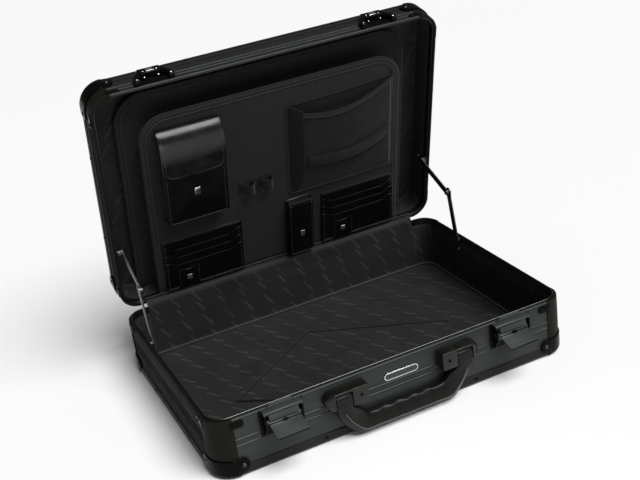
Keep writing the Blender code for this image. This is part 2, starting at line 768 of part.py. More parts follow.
def latch_lever():
    """A barrel with its two pins, and a cranked flap that stands out from it."""
    half = LATCH_WIDTH / 2 - LATCH_CHEEK - GAP
    body = rod((-half, 0, 0), (half, 0, 0), LEVER_BARREL)
    pin_end = LATCH_WIDTH / 2
    body = join(body, rod((-pin_end, 0, 0), (pin_end, 0, 0), LEVER_PIN))
    crank = (-LEVER_ROOT, -LEVER_ROOT_DROP)
    tip = (crank[0] - LEVER_FLAP, crank[1] - LEVER_FLAP_DROP)
    sheet = LEVER_SHEET
    profile = [(-BITE / 2, LEVER_BARREL - sheet), (-BITE / 2, LEVER_BARREL)]
    profile += [(crank[0], crank[1] + sheet), (tip[0], tip[1] + sheet)]
    profile += [tip, crank]
    return join(body, section([profile], -half + LEVER_SIDE_ROOM, half - LEVER_SIDE_ROOM))


def build_latches(lid, offset):
    for side, sign in (("left", -1), ("right", 1)):
        x = sign * LATCH_X
        keep(latch_housing(x), f"latch_housing_{side}", DIE_CASTING, smooth=True)
        axis = empty(f"latch_lever_axis_{side}", (x, -HALF_Y - LEVER_PIVOT_OUT, LEVER_PIVOT_Z))
        keep(latch_lever(), f"latch_lever_{side}", DIE_CASTING, axis, smooth=True)
        top = BASE_HEIGHT + TONGUE_TOP
        half, chamfer = TONGUE_HALF, TONGUE_CHAMFER
        outline = [(x - half, top - TONGUE_LENGTH), (x + half, top - TONGUE_LENGTH)]
        outline += [(x + half, top - chamfer), (x + half - chamfer, top)]
        outline += [(x - half + chamfer, top), (x - half, top - chamfer)]
        tongue_back = -HALF_Y - RIB_PROUD - GAP - LATCH_BACK - GAP
        keep(front_view([outline], tongue_back, TONGUE_SHEET), f"latch_tongue_{side}", STEEL)
        keeper = keep(latch_keeper(x), f"latch_keeper_{side}", DIE_CASTING, lid, smooth=True)
        keeper.location = offset


def latch_keeper(x):
    """An arch on the lid's front wall, open towards the seam, that the tongue slides into."""
    outer = [(KEEPER_HALF, KEEPER_FOOT), (KEEPER_HALF, KEEPER_SHOULDER), KEEPER_CROWN]
    outer += mirrored(outer)
    mouth = TONGUE_HALF + KEEPER_MOUTH_ROOM
    crown_x, crown_z = KEEPER_MOUTH_CROWN
    inner = [(-mouth, KEEPER_FOOT), (-mouth, KEEPER_MOUTH_TOP), (-crown_x, crown_z)]
    inner += mirrored(inner)
    outline = [(x + px, pz) for px, pz in outer + inner]
    arch = front_view([outline], -HALF_Y - RIB_PROUD - GAP, KEEPER_DEPTH)
    return bevelled(arch, KEEPER_EDGE, 1)


def stay_elbow(arm_angle):
    """The elbow of the kite, as (angle of the lower link, half the elbow's angle).

    Angles are in radians up from the line that runs from the hinge to the front.
    """
    drop = math.atan2(STAY_DROP, STAY_ARM)
    reach = math.hypot(STAY_ARM, STAY_DROP)
    half = arm_angle / 2 + drop
    fold = math.asin(reach * math.sin(half) / STAY_LINK)
    return arm_angle / 2 + fold, fold


def link_bar(length, x_low, x_high):
    """A flat bar along the local -Y axis, with a round eye at each end."""
    half = STAY_WIDTH / 2
    outline = arc((0, 0), half, -90, 90, 8) + [(-length + STAY_NECK, half)]
    outline += arc((-length, 0), STAY_EYE, 60, 300, 10) + [(-length + STAY_NECK, -half)]
    return section([outline], x_low, x_high)


def link_pin(sign, near, far, radius):
    """A pin along X at the far eye of a link."""
    return rod((sign * near, -STAY_LINK, 0), (sign * far, -STAY_LINK, 0), radius)


def build_stays():
    """Two folding stays. Each upper link's far pivot is left free of the lid."""
    link_angle, fold = stay_elbow(LID_OPENING)
    for side, sign in (("left", -1), ("right", 1)):

        def span(near, far):
            return sorted((sign * near, sign * far))

        foot = empty(
            f"stay_foot_axis_{side}",
            (0, HINGE_Y - STAY_ARM, BASE_HEIGHT - STAY_DROP),
            turn=-link_angle,
        )
        x0, x1 = STAY_LOWER_X - STAY_THICKNESS, STAY_LOWER_X
        lower = link_bar(STAY_LINK, *span(x0, x1))
        boss = rod((sign * (x0 + STAY_BITE), 0, 0), (sign * STAY_BOSS_END, 0, 0), STAY_BOSS_RADIUS)
        upper_in = STAY_UPPER_X - STAY_THICKNESS
        elbow_end = upper_in - STAY_HEAD
        pin = link_pin(sign, elbow_end, x0 + STAY_BITE, STAY_PIN_RADIUS)
        head = link_pin(sign, elbow_end, upper_in - GAP, STAY_HEAD_RADIUS)
        keep(join(lower, boss, pin, head), f"stay_lower_link_{side}", STEEL, foot, smooth=True)

        unfold = 2 * fold - math.pi
        elbow = empty(f"stay_elbow_axis_{side}", (0, -STAY_LINK, 0), turn=unfold, parent=foot)
        upper = link_bar(STAY_LINK, *span(upper_in, STAY_UPPER_X))
        eye = rod((sign * elbow_end, 0, 0), (sign * x0, 0, 0), STAY_PIN_RADIUS + GAP)
        upper = cut(upper, eye)
        far = link_pin(sign, upper_in + STAY_BITE, STAY_BOSS_END, STAY_BOSS_RADIUS)
        keep(join(upper, far), f"stay_upper_link_{side}", STEEL, elbow, smooth=True)


def lid_box(xs, heights, depths):
    """A box in the lid, from its spans in X, in height from the hinge line and in depth."""
    return block((xs[0], HALF_Y - heights[1], depths[0]), (xs[1], HALF_Y - heights[0], depths[1]))


def board(half, foot, top, face, thickness, radius):
    """An upright board of the organiser, with its two upper corners rounded."""
    outline = [(-half, HALF_Y - foot), (half, HALF_Y - foot)]
    outline += arc((half - radius, HALF_Y - top + radius), radius, 0, -90, 8)
    outline += arc((-half + radius, HALF_Y - top + radius), radius, -90, -180, 8)
    return transformed(plate([outline[::-1]], thickness), PLAIN, (0, 0, face))


def pouch(xs, heights, depth, wall):
    """A pocket that stands off the front board and opens at its upper end."""
    back = BOARD_FACE - GAP
    shell = lid_box(xs, heights, (-depth, back))
    room = (heights[0] + wall, heights[1] + OVERRUN)
    hollow = lid_box((xs[0] + wall, xs[1] - wall), room, (-depth + wall, back - wall))
    return cut(shell, hollow)


def pen_loops():
    """A band across two round loops, open along the lid's height."""
    back = BOARD_FACE - GAP
    outline = [(PEN_LOOP_ENDS[0], back), (PEN_LOOP_ENDS[0], back - PEN_LOOP_FLAT)]
    holes = []
    for x in PEN_LOOP_XS:
        depth = back - PEN_LOOP_LIFT - PEN_LOOP_RADIUS
        holes.append(arc((x, depth), PEN_LOOP_RADIUS, 0, 330, 11))
        outline += arc((x, depth), PEN_LOOP_RADIUS + PEN_LOOP_WALL, 180, 360, 8)
    outline += [(PEN_LOOP_ENDS[1], back - PEN_LOOP_FLAT), (PEN_LOOP_ENDS[1], back)]
    loops = plate([outline] + holes, PEN_LOOP_WIDTH)
    origin = (0, HALF_Y - PEN_LOOP_HEIGHT, 0)
    return transformed(loops, ((1, 0, 0), (0, 0, 1), (0, -1, 0)), origin)


def cable_strap():
    """An elastic band across the cable pocket, standing off it between its sewn ends."""
    low, high = STRAP_FRONT, -CABLE_POCKET[2] - GAP
    band = lid_box(STRAP_SPAN, STRAP_HEIGHTS, (low, high))
    inner = (STRAP_SPAN[0] + STRAP_END, STRAP_SPAN[1] - STRAP_END)
    through = (STRAP_HEIGHTS[0] - OVERRUN, STRAP_HEIGHTS[1] + OVERRUN)
    room = lid_box(inner, through, (low + STRAP_SHEET, high + BITE))
    return cut(band, room)


def phone_flap():
    """The flap over the phone pouch: a top, and a drop down the pouch's front."""
    left, right = FLAP_SPAN
    cover = block((left, 0.0, FLAP_FRONT), (right, LEATHER - GAP, -GAP))
    drop = block((left, 0.0, FLAP_FRONT), (right, FLAP_DROP, FLAP_INNER))
    return join(cover, drop)


def build_organiser(lid, offset):
    def place(item, name, look, smooth=False):
        keep(item, name, look, lid, smooth).location = offset

    front = board(BOARD_HALF, BOARD_FOOT, BOARD_TOP, BOARD_FACE, BOARD_THICKNESS, BOARD_RADIUS)
    place(front, "organiser_front_board", BOARD_FABRIC)
    back = board(
        BACK_BOARD_HALF,
        BOARD_FOOT,
        BACK_BOARD_TOP,
        BACK_BOARD_FACE,
        BACK_BOARD_THICKNESS,
        BACK_BOARD_RADIUS,
    )
    place(back, "organiser_back_board", BOARD_FABRIC)
    depths = (BOARD_FACE + BOARD_THICKNESS + GAP, BACK_BOARD_FACE - GAP)
    for side, sign in (("left", -1), ("right", 1)):
        xs = sorted((sign * BOARD_HALF, sign * (BOARD_HALF - GUSSET_THICKNESS)))
        gusset = lid_box(xs, (BOARD_FOOT, GUSSET_TOP - BOARD_RADIUS), depths)
        place(gusset, f"organiser_gusset_{side}", BOARD_FABRIC)

    place(pouch(*PHONE_POUCH, LEATHER), "phone_pouch", BLACK_LEATHER)
    place(pouch(*STICK_POUCH, LEATHER), "stick_pouch", BLACK_LEATHER)
    place(pouch(*CABLE_POCKET, LEATHER), "cable_pocket", BOARD_FABRIC)
    for side, (xs, top) in CARD_POCKETS.items():
        pocket = lid_box(xs, (CARD_FOOT, top), (-CARD_DEPTH, BOARD_FACE - GAP))
        place(pocket, f"card_pocket_{side}", BLACK_LEATHER)
    place(pen_loops(), "pen_loops", ELASTIC)
    place(cable_strap(), "cable_strap", ELASTIC)

    above = Vector((0, HALF_Y - FLAP_HEIGHT, 0))
    axis = empty("phone_flap_axis", Vector(offset) + above, parent=lid)
    keep(phone_flap(), "phone_pouch_flap", BLACK_LEATHER, axis)


def build_case():
    build_shell("base", BASE_HEIGHT, BASE_RIBS, None, (0, 0, 0), to_lid=False)
    build_base_corners()
    lid = empty("lid_axis", (0, HINGE_Y, BASE_HEIGHT), turn=-LID_OPENING)
    offset = (0, -HINGE_Y, 0)
    build_shell("lid", LID_HEIGHT, LID_RIBS, lid, offset, to_lid=True)
    build_lid_corners(lid, offset)
    build_hinge(lid, offset)
    build_handle()
    build_badge()
    build_latches(lid, offset)
    build_stays()
    build_organiser(lid, offset)


clear_scene()
new_collection(COLLECTION)
build_case()
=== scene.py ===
"""The looks of an open aluminium attache case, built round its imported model.

Lengths are metres. Pieces of the lid are drawn as they lie when the case is shut, with y as on
the base and z up from the seam, and LID carries them to their open place.
"""

import json
import math

import bmesh
import bpy
from mathutils import Matrix, Vector, noise

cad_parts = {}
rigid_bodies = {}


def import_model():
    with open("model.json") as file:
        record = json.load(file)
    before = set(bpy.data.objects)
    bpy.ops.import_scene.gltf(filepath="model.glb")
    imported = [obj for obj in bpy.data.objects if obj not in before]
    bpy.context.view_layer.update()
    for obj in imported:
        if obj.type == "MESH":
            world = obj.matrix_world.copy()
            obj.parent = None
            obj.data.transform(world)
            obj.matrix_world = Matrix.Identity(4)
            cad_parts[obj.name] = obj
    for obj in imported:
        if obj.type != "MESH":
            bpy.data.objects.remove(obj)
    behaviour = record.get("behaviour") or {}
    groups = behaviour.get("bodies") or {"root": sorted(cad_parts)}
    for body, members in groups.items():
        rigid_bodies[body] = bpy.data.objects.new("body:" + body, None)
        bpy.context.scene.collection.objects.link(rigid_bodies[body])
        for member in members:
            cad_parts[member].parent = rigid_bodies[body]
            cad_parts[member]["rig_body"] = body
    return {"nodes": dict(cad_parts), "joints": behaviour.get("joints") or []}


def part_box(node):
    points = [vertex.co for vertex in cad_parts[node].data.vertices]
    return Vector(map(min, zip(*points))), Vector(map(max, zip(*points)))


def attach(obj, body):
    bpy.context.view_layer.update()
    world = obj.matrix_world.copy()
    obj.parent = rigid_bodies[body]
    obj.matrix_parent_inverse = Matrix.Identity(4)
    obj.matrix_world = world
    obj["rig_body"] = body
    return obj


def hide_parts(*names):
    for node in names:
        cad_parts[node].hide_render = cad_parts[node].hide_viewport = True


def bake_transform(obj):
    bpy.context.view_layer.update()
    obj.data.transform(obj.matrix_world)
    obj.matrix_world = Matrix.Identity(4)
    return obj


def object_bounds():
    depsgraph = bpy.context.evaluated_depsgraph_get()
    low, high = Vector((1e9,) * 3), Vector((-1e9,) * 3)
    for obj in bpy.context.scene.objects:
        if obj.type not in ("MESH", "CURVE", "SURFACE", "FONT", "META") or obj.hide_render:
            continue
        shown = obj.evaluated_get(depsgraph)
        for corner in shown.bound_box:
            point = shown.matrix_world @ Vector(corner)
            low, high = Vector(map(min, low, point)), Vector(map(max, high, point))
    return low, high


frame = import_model()
cad_low, cad_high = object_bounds()

WORLD = Matrix.Identity(4)
hinge = next(joint for joint in frame["joints"] if joint["name"] == "lid_hinge")
PIVOT = Vector(hinge["pos_m"])
OPENING = math.radians(hinge["range_deg"][1])
LID = (
    Matrix.Translation(PIVOT)
    @ Matrix.Rotation(-OPENING, 4, "X")
    @ Matrix.Translation((0.0, -PIVOT.y, 0.0))
)


def span(node, matrix=WORLD):
    """The lowest and highest corner of a CAD node in the base's frame or the lid's."""
    back = matrix.inverted()
    points = [back @ vertex.co for vertex in frame["nodes"][node].data.vertices]
    return Vector(map(min, zip(*points))), Vector(map(max, zip(*points)))


# The outline of the case, from the frame.
PROUD = 0.0008
HALF_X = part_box("base_wall_right")[1].x - PROUD
HALF_Y = -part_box("base_wall_front")[0].y - PROUD
RADIUS = HALF_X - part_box("base_wall_front")[1].x
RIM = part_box("base_wall_front")[1].z
TRIM_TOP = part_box("base_edge_trim")[1].z
WALL = 0.003
FIT = 0.0003
LIP_LOW, LIP_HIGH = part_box("base_rim_lip")[0].z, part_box("base_rim_lip")[1].z
LINING = 0.0015
LINED = WALL + FIT + LINING
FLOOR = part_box("base_lining")[0].z
SEAM, LID_WALL_TOP = span("lid_wall_front", LID)[0].z, span("lid_wall_front", LID)[1].z
LID_TOP = span("lid_edge_trim", LID)[1].z
LID_LIP_LOW = span("lid_rim_lip", LID)[0].z
HALVES = (("base", WORLD), ("lid", LID))
CORNERS = {
    "front_left": (-1, -1),
    "front_right": (1, -1),
    "rear_left": (-1, 1),
    "rear_right": (1, 1),
}


# Materials ---------------------------------------------------------------------------------


class Look:
    """A material, with short calls that add nodes to it."""

    def __init__(self, name, roughness, metallic=0.0, **constants):
        self.material = bpy.data.materials.new(name)
        self.material.use_nodes = True
        self.tree = self.material.node_tree
        self.shader = self.tree.nodes["Principled BSDF"]
        self.shader.inputs["Roughness"].default_value = roughness
        self.shader.inputs["Metallic"].default_value = metallic
        for key, value in constants.items():
            self.shader.inputs[key.replace("_", " ")].default_value = value

    def node(self, kind, inputs=None, **settings):
        made = self.tree.nodes.new("ShaderNode" + kind)
        for key, value in settings.items():
            setattr(made, key, value)
        for key, value in (inputs or {}).items():
            if isinstance(value, bpy.types.NodeSocket):
                self.tree.links.new(value, made.inputs[key])
            else:
                made.inputs[key].default_value = value
        return made

    def place(self, stretch=(1, 1, 1), source="Object"):
        at = self.node("TexCoord").outputs[source]
        return self.node("Mapping", {"Vector": at, "Scale": stretch}).outputs[0]

    def cloud(self, at, scale, detail):
        inputs = {"Vector": at, "Scale": scale, "Detail": detail, "Roughness": 0.55}
        return self.node("TexNoise", inputs).outputs["Fac"]

    def sums(self, operation, first, second=0.0):
        return self.node("Math", {0: first, 1: second, 2: 0.0}, operation=operation).outputs[0]

    def product(self, first, second):
        return self.sums("MULTIPLY", first, second)

    def fade(self, value, low, high, out_low=0.0, out_high=1.0):
        inputs = {"Value": value, "From Min": low, "From Max": high}
        inputs |= {"To Min": out_low, "To Max": out_high}
        return self.node("MapRange", inputs).outputs[0]

    def blend(self, share, first, second):
        inputs = {"Factor": share}
        made = self.node("Mix", inputs, data_type="RGBA")
        for index, value in ((6, first), (7, second)):
            if isinstance(value, bpy.types.NodeSocket):
                self.tree.links.new(value, made.inputs[index])
            else:
                made.inputs[index].default_value = (*value, 1.0)
        return made.outputs[2]

    def colour(self, value):
        self.tree.links.new(value, self.shader.inputs["Base Color"])

    def mottle(self, broad, colour, darker, paler):
        """Lets the colour drift between two shares of itself."""
        share = self.fade(broad, *NOISE_SPAN)
        self.colour(self.blend(share, scaled(colour, darker), scaled(colour, paler)))

    def rough(self, value):
        self.tree.links.new(value, self.shader.inputs["Roughness"])

    def relief(self, height, distance, strength=1.0):
        inputs = {"Height": height, "Distance": distance, "Strength": strength}
        self.tree.links.new(self.node("Bump", inputs).outputs[0], self.shader.inputs["Normal"])


def scaled(colour, share):
    return tuple(channel * share for channel in colour)


def grey(value):
    return (value, value, value)


# Most of the noise's values lie between these two.
NOISE_SPAN = (0.3, 0.7)


def brushed(name, colour, roughness, along="x", metallic=0.9, streak=0.22, gloss=0.25):
    """Metal with fine streaks along one axis."""
    look = Look(name, roughness, metallic, Specular_IOR_Level=gloss)
    stretch = {"x": (3, 500, 500), "y": (500, 3, 500), "z": (500, 500, 3)}[along]
    fine = look.cloud(look.place(stretch), 1.0, 4.0)
    broad = look.cloud(look.place(scaled(stretch, 0.12)), 1.0, 2.0)
    mottle = look.cloud(look.place(), 30.0, 3.0)
    mixed = look.sums("ADD", look.product(fine, 0.6), look.product(broad, 0.4))
    share = look.fade(mixed, *NOISE_SPAN)
    look.colour(look.blend(share, scaled(colour, 1 - streak), scaled(colour, 1 + streak)))
    base = look.fade(mottle, *NOISE_SPAN, roughness - 0.05, roughness + 0.06)
    look.rough(look.sums("ADD", base, look.product(fine, 0.05)))
    look.relief(fine, 0.00002, 0.6)
    return look.material


def moulded(name, colour, roughness, grain=0.00003, gloss=0.18):
    """Moulded plastic or a painted casting: a fine skin and a little unevenness."""
    look = Look(name, roughness, Specular_IOR_Level=gloss)
    fine = look.cloud(look.place(), 2200.0, 2.0)
    broad = look.cloud(look.place(), 45.0, 3.0)
    look.mottle(broad, colour, 0.85, 1.15)
    look.rough(look.fade(broad, *NOISE_SPAN, roughness - 0.05, roughness + 0.07))
    look.relief(fine, grain)
    return look.material


def woven(name, colour, pitch):
    """A plain weave with soft mottling."""
    spread = 0.18
    look = Look(name, 0.9, Sheen_Weight=0.10, Specular_IOR_Level=0.12)
    look.shader.inputs["Sheen Roughness"].default_value = 0.5
    at = look.node("SeparateXYZ", {0: look.place()}).outputs
    turn = 2 * math.pi / pitch
    waves = [look.sums("SINE", look.product(at[axis], turn)) for axis in (0, 1, 2)]
    mixed = look.product(look.sums("ADD", waves[0], waves[2]), 0.5)
    threads = look.product(mixed, waves[1])
    broad = look.cloud(look.place(), 38.0, 4.0)
    fine = look.cloud(look.place(), 900.0, 2.0)
    share = look.fade(look.sums("ADD", broad, look.product(fine, 0.5)), 0.45, 1.05)
    look.colour(look.blend(share, scaled(colour, 1 - spread), scaled(colour, 1 + spread)))
    look.relief(look.sums("ADD", threads, look.product(fine, 1.2)), 0.00008)
    return look.material


# The lining's dashes: their pitch across, the pitch of their rows, their slope, the slide from
# row to row, and the spans over which half a dash's width and half its length fade out.
DASH_PITCH, DASH_ROW, DASH_LEAN, DASH_SLIDE = 0.030, 0.0245, 0.65, 0.0073
DASH_WIDTH = (0.0013, 0.0021)
DASH_LENGTH = (0.0080, 0.0092)
STROKE_PITCH = 0.0019


def printed_lining(name, colour, pale):
    """Satin lining with rows of short slanted dashes, each broken up as a small woven mark."""
    look = Look(name, 0.66, Sheen_Weight=0.06, Specular_IOR_Level=0.15)
    look.shader.inputs["Sheen Roughness"].default_value = 0.4
    at = look.node("SeparateXYZ", {0: look.node("UVMap").outputs[0]}).outputs
    step = look.sums("FLOOR", look.sums("DIVIDE", at[1], DASH_ROW))
    within = look.sums("SUBTRACT", at[1], look.product(step, DASH_ROW))
    slid = look.sums("ADD", at[0], look.product(within, DASH_LEAN))
    slid = look.sums("ADD", slid, look.product(step, DASH_SLIDE))
    column = look.sums("DIVIDE", slid, DASH_PITCH)
    part = look.sums("SUBTRACT", column, look.sums("FLOOR", column))
    off = look.product(look.sums("ABSOLUTE", look.sums("SUBTRACT", part, 0.5)), DASH_PITCH)
    line = look.fade(off, *DASH_WIDTH, 1.0, 0.0)
    length = look.sums("ABSOLUTE", look.sums("SUBTRACT", within, DASH_ROW / 2))
    ends = look.fade(length, *DASH_LENGTH, 1.0, 0.0)
    strokes = look.sums("SINE", look.product(within, 2 * math.pi / STROKE_PITCH))
    rough_edge = look.cloud(look.place(source="UV"), 900.0, 1.0)
    speck = look.fade(look.sums("ADD", look.product(strokes, 0.16), rough_edge), 0.42, 0.58)
    worn = look.fade(look.cloud(look.place(), 26.0, 2.0), 0.35, 0.6, 0.35, 1.0)
    mark = look.product(look.product(line, ends), look.product(speck, worn))
    broad = look.cloud(look.place(), 24.0, 4.0)
    fine = look.cloud(look.place(), 1500.0, 2.0)
    share = look.fade(broad, *NOISE_SPAN)
    cloth = look.blend(share, scaled(colour, 0.80), scaled(colour, 1.20))
    look.colour(look.blend(look.product(mark, 0.75), cloth, pale))
    look.relief(look.sums("ADD", look.product(broad, 6.0), fine), 0.00012)
    return look.material


def leather(name, colour, roughness, gloss=0.50):
    """Smooth leather: a fine pebbled grain with soft wear."""
    look = Look(name, roughness, Specular_IOR_Level=gloss)
    cells = look.node("TexVoronoi", {"Vector": look.place(), "Scale": 900.0}).outputs["Distance"]
    fine = look.cloud(look.place(), 700.0, 4.0)
    broad = look.cloud(look.place(), 40.0, 3.0)
    look.mottle(broad, colour, 0.8, 1.3)
    look.rough(look.fade(broad, *NOISE_SPAN, roughness - 0.06, roughness + 0.10))
    look.relief(look.sums("ADD", cells, look.product(fine, 0.6)), 0.00010, 0.5)
    return look.material


def ribbed(name, colour, pitch, axis):
    """Elastic tape with fine ribs across it."""
    look = Look(name, 0.85, Sheen_Weight=0.08, Specular_IOR_Level=0.15)
    at = look.node("SeparateXYZ", {0: look.place()}).outputs[axis]
    ribs = look.sums("SINE", look.product(at, 2 * math.pi / pitch))
    fine = look.cloud(look.place(), 1200.0, 2.0)
    share = look.fade(ribs, -1.0, 1.0)
    look.colour(look.blend(share, scaled(colour, 0.75), scaled(colour, 1.25)))
    look.relief(look.sums("ADD", ribs, fine), 0.00010)
    return look.material


DARK = (0.0255, 0.0300, 0.0268)
OLIVE = (0.0078, 0.0083, 0.0060)
ANODISED = brushed("anodised_aluminium", DARK, 0.42, "x", 0.35)
# The side walls take a darker, barely reflective copy of the anodised colour: painted shade, as the case's
# sides lie in shadow.
ANODISED_SIDE_SHADE = brushed("anodised_aluminium_side_shade", scaled(DARK, 0.30), 0.55, "y", 0.0, gloss=0.03)
# The lid's long walls take a darker copy of the same anodised colour: painted shade, to tone down the
# light they catch.
ANODISED_LID_SHADE = brushed("anodised_aluminium_lid_shade", scaled(DARK, 0.60), 0.42, "x", 0.35)
PANEL = brushed("panel_sheet", scaled(DARK, 0.8), 0.45, "x", 0.35)
BRIGHT = brushed("bright_aluminium", (0.075, 0.079, 0.073), 0.30, "x", 1.0, 0.08)
TRIM = moulded("edge_trim", OLIVE, 0.50)
POST = moulded("corner_post", (0.0080, 0.0078, 0.0057), 0.52, 0.00005, 0.06)
GLOSS = moulded("corner_cap", (0.0012, 0.0012, 0.0010), 0.20, 0.00001, 0.06)
GRIP = moulded("handle_moulding", (0.0045, 0.0047, 0.0036), 0.36, 0.00006, 0.18)
# Pale grey for the thin cord along the handle's ridge: a painted highlight.
RIDGE_HIGHLIGHT = moulded("painted_ridge_highlight", (0.095, 0.100, 0.090), 0.40, 0.0, 0.40)
CASTING = moulded("bracket_casting", (0.0056, 0.0059, 0.0044), 0.28, 0.00002, 0.34)
BLACK_METAL = moulded("black_lacquered_metal", (0.0020, 0.0020, 0.0017), 0.26, 0.00001, 0.06)
LATCH_PLATE = brushed("latch_plate", (0.040, 0.046, 0.042), 0.40, "x", 0.35, 0.10)
RIVET = brushed("blackened_steel", (0.060, 0.060, 0.056), 0.24, "x", 1.0, 0.08)
CHROME = brushed("bright_steel", (0.62, 0.62, 0.60), 0.18, "x", 1.0, 0.05)
STEEL = brushed("stay_steel", (0.085, 0.085, 0.082), 0.30, "z", 1.0, 0.10)
PRINT = printed_lining("printed_lining", grey(0.0145), grey(0.066))
CORD = woven("piping_cloth", grey(0.036), 0.0009)
BOARD = woven("board_cloth", grey(0.0115), 0.0012)
BINDING = woven("binding_tape", grey(0.0098), 0.0008)
NET = woven("pocket_cloth", grey(0.0050), 0.0016)
# Dark gusset cloth; its colour also paints the shade along the floor flap's edges and in the stick pouch's
# mouth.
GUSSET_CLOTH_AND_SHADE = woven("gusset_cloth_and_painted_shade", grey(0.0035), 0.0011)
ELASTIC = ribbed("elastic_tape", grey(0.0060), 0.0010, 2)
SMOOTH_LEATHER = leather("flap_leather", grey(0.0026), 0.27, 0.42)
CARD_LEATHER = leather("card_leather", grey(0.0012), 0.33, 0.22)
THREAD = moulded("thread", (0.080, 0.080, 0.076), 0.70, 0.0001)


# Mesh helpers ------------------------------------------------------------------------------

SAME_POINT = 0.00001
FLAT_ANGLE = 2
RIVET_SIDES = 18
# The four corners of a rounded rectangle: the signs of x and y, and the angle each arc starts at.
QUARTERS = ((1, -1, -90), (1, 1, 0), (-1, 1, 90), (-1, -1, 180))
# A rivet's head as shares of its radius and of its rise.
RIVET_PROFILE = ((1.0, -0.2), (1.0, 0.15), (0.86, 0.3), (0.8, 0.55), (0.6, 0.85), (0.3, 0.98))


def piece(shape, name, look, body, matrix=WORLD, stands_for=(), slot=None, edge=0.0, steps=2,
          sharp=38):
    """Makes an object of a finished shape and hangs it on its body."""
    bmesh.ops.recalc_face_normals(shape, faces=shape.faces)
    mesh = bpy.data.meshes.new(name)
    shape.to_mesh(mesh)
    shape.free()
    mesh.materials.append(look)
    mesh.shade_smooth()
    item = bpy.data.objects.new(name, mesh)
    bpy.context.scene.collection.objects.link(item)
    item.matrix_world = matrix
    if edge:
        rounding = item.modifiers.new("rounded edges", "BEVEL")
        rounding.width = edge
        rounding.segments = steps
        rounding.limit_method = "ANGLE"
        rounding.angle_limit = math.radians(sharp)
        rounding.harden_normals = False
    else:
        mesh.set_sharp_from_angle(angle=math.radians(sharp))
    if body:
        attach(item, body)
    if stands_for:
        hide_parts(*stands_for)
    return item


def lengths(points, wrap):
    """How far each point lies along a line of points."""
    after = points[1:] + (points[:1] if wrap else [])
    total = [0.0]
    for here, there in zip(points, after):
        total.append(total[-1] + (Vector(there) - Vector(here)).length)
    return total


def skin(rows, ring=False, closed=False, capped=False, shape=None, uv=None):
    """A skin over rows of points. Its UV map is in metres, along the rows and across them."""
    shape = shape or bmesh.new()
    layer = shape.loops.layers.uv.verify()
    made = [[shape.verts.new(point) for point in row] for row in rows]
    along = lengths([row[0] for row in rows], closed)
    across = lengths(rows[0], ring)
    for i in range(len(rows) - (not closed)):
        for j in range(len(rows[0]) - (not ring)):
            after, beside = (i + 1) % len(rows), (j + 1) % len(rows[0])
            face = shape.faces.new((made[i][j], made[i][beside], made[after][beside], made[after][j]))
            corners = ((i, j), (i, j + 1), (i + 1, j + 1), (i + 1, j))
            for loop, (row, column) in zip(face.loops, corners):
                loop[layer].uv = uv(loop.vert.co) if uv else (along[row], across[column])
    if capped:
        shape.faces.new(made[0])
        shape.faces.new(made[-1])
    return shape


def arc(centre, radius, first, last, steps=8):
    angles = [math.radians(first + (last - first) * step / steps) for step in range(steps + 1)]
    return [(centre[0] + radius * math.cos(a), centre[1] + radius * math.sin(a)) for a in angles]


def outline_path(half_x, half_y, radius, steps=14, pitch=None):
    """(point, outward) pairs once round a rounded rectangle."""
    path = []
    for sign_x, sign_y, first in QUARTERS:
        centre = Vector((sign_x * (half_x - radius), sign_y * (half_y - radius), 0))
        for a, b in arc((0, 0), 1.0, first, first + 90, steps):
            outward = Vector((a, b, 0))
            path.append((centre + outward * radius, outward))
    if not pitch:
        return path
    filled = []
    for (here, outward), (there, other) in zip(path, path[1:] + path[:1]):
        filled.append((here, outward))
        count = int((there - here).length / pitch)
        if (outward - other).length < 0.01:
            filled += [(here.lerp(there, k / (count + 1)), outward) for k in range(1, count + 1)]
    return filled


def swept(profile, path, ring=True, closed=True, capped=False, shape=None):
    """Carries (outward, up) points along a path of (point, outward) pairs."""
    rows = [
        [point + outward * out + Vector((0, 0, up)) for out, up in profile]
        for point, outward in path
    ]
    return skin(rows, ring=ring, closed=closed, capped=capped, shape=shape)


def corner_path(sign_x, sign_y, reach):
    """(point, outward) pairs round one corner of the case, with a straight reach at both ends."""
    centre = Vector((sign_x * (HALF_X - RADIUS), sign_y * (HALF_Y - RADIUS), 0))
    path = []
    for a, b in arc((0, 0), 1.0, 0, 90, CORNER_STEPS):
        outward = Vector((sign_x * a, sign_y * b, 0))
        path.append((centre + outward * RADIUS, outward))
    first, last = path[0], path[-1]
    path = [(first[0] + Vector((0, -sign_y * reach, 0)), first[1])] + path
    return path + [(last[0] + Vector((-sign_x * reach, 0, 0)), last[1])]


def prism(outline, near, far, place, shape=None):
    """An outline drawn out between two depths. place makes a point of (across, along, depth)."""
    shape = shape or bmesh.new()
    rows = [[shape.verts.new(place(a, b, depth)) for a, b in outline] for depth in (near, far)]
    for j in range(len(outline)):
        beside = (j + 1) % len(outline)
        shape.faces.new((rows[0][j], rows[0][beside], rows[1][beside], rows[1][j]))
    shape.faces.new(rows[0])
    shape.faces.new(rows[1])
    return shape


def front_place(a, b, depth):
    return Vector((a, depth, b))


def flat_place(a, b, depth):
    return Vector((a, b, depth))


def side_place(a, b, depth):
    return Vector((depth, a, b))


def add_rod(shape, start, end, radius, steps=20):
    start, end = Vector(start), Vector(end)
    made = bmesh.ops.create_cone(
        shape, cap_ends=True, segments=steps, radius1=radius, radius2=radius,
        depth=(end - start).length,
    )["verts"]
    turn = Vector((0, 0, 1)).rotation_difference(end - start).to_matrix()
    bmesh.ops.rotate(shape, cent=(0, 0, 0), matrix=turn, verts=made)
    bmesh.ops.translate(shape, vec=(start + end) / 2, verts=made)


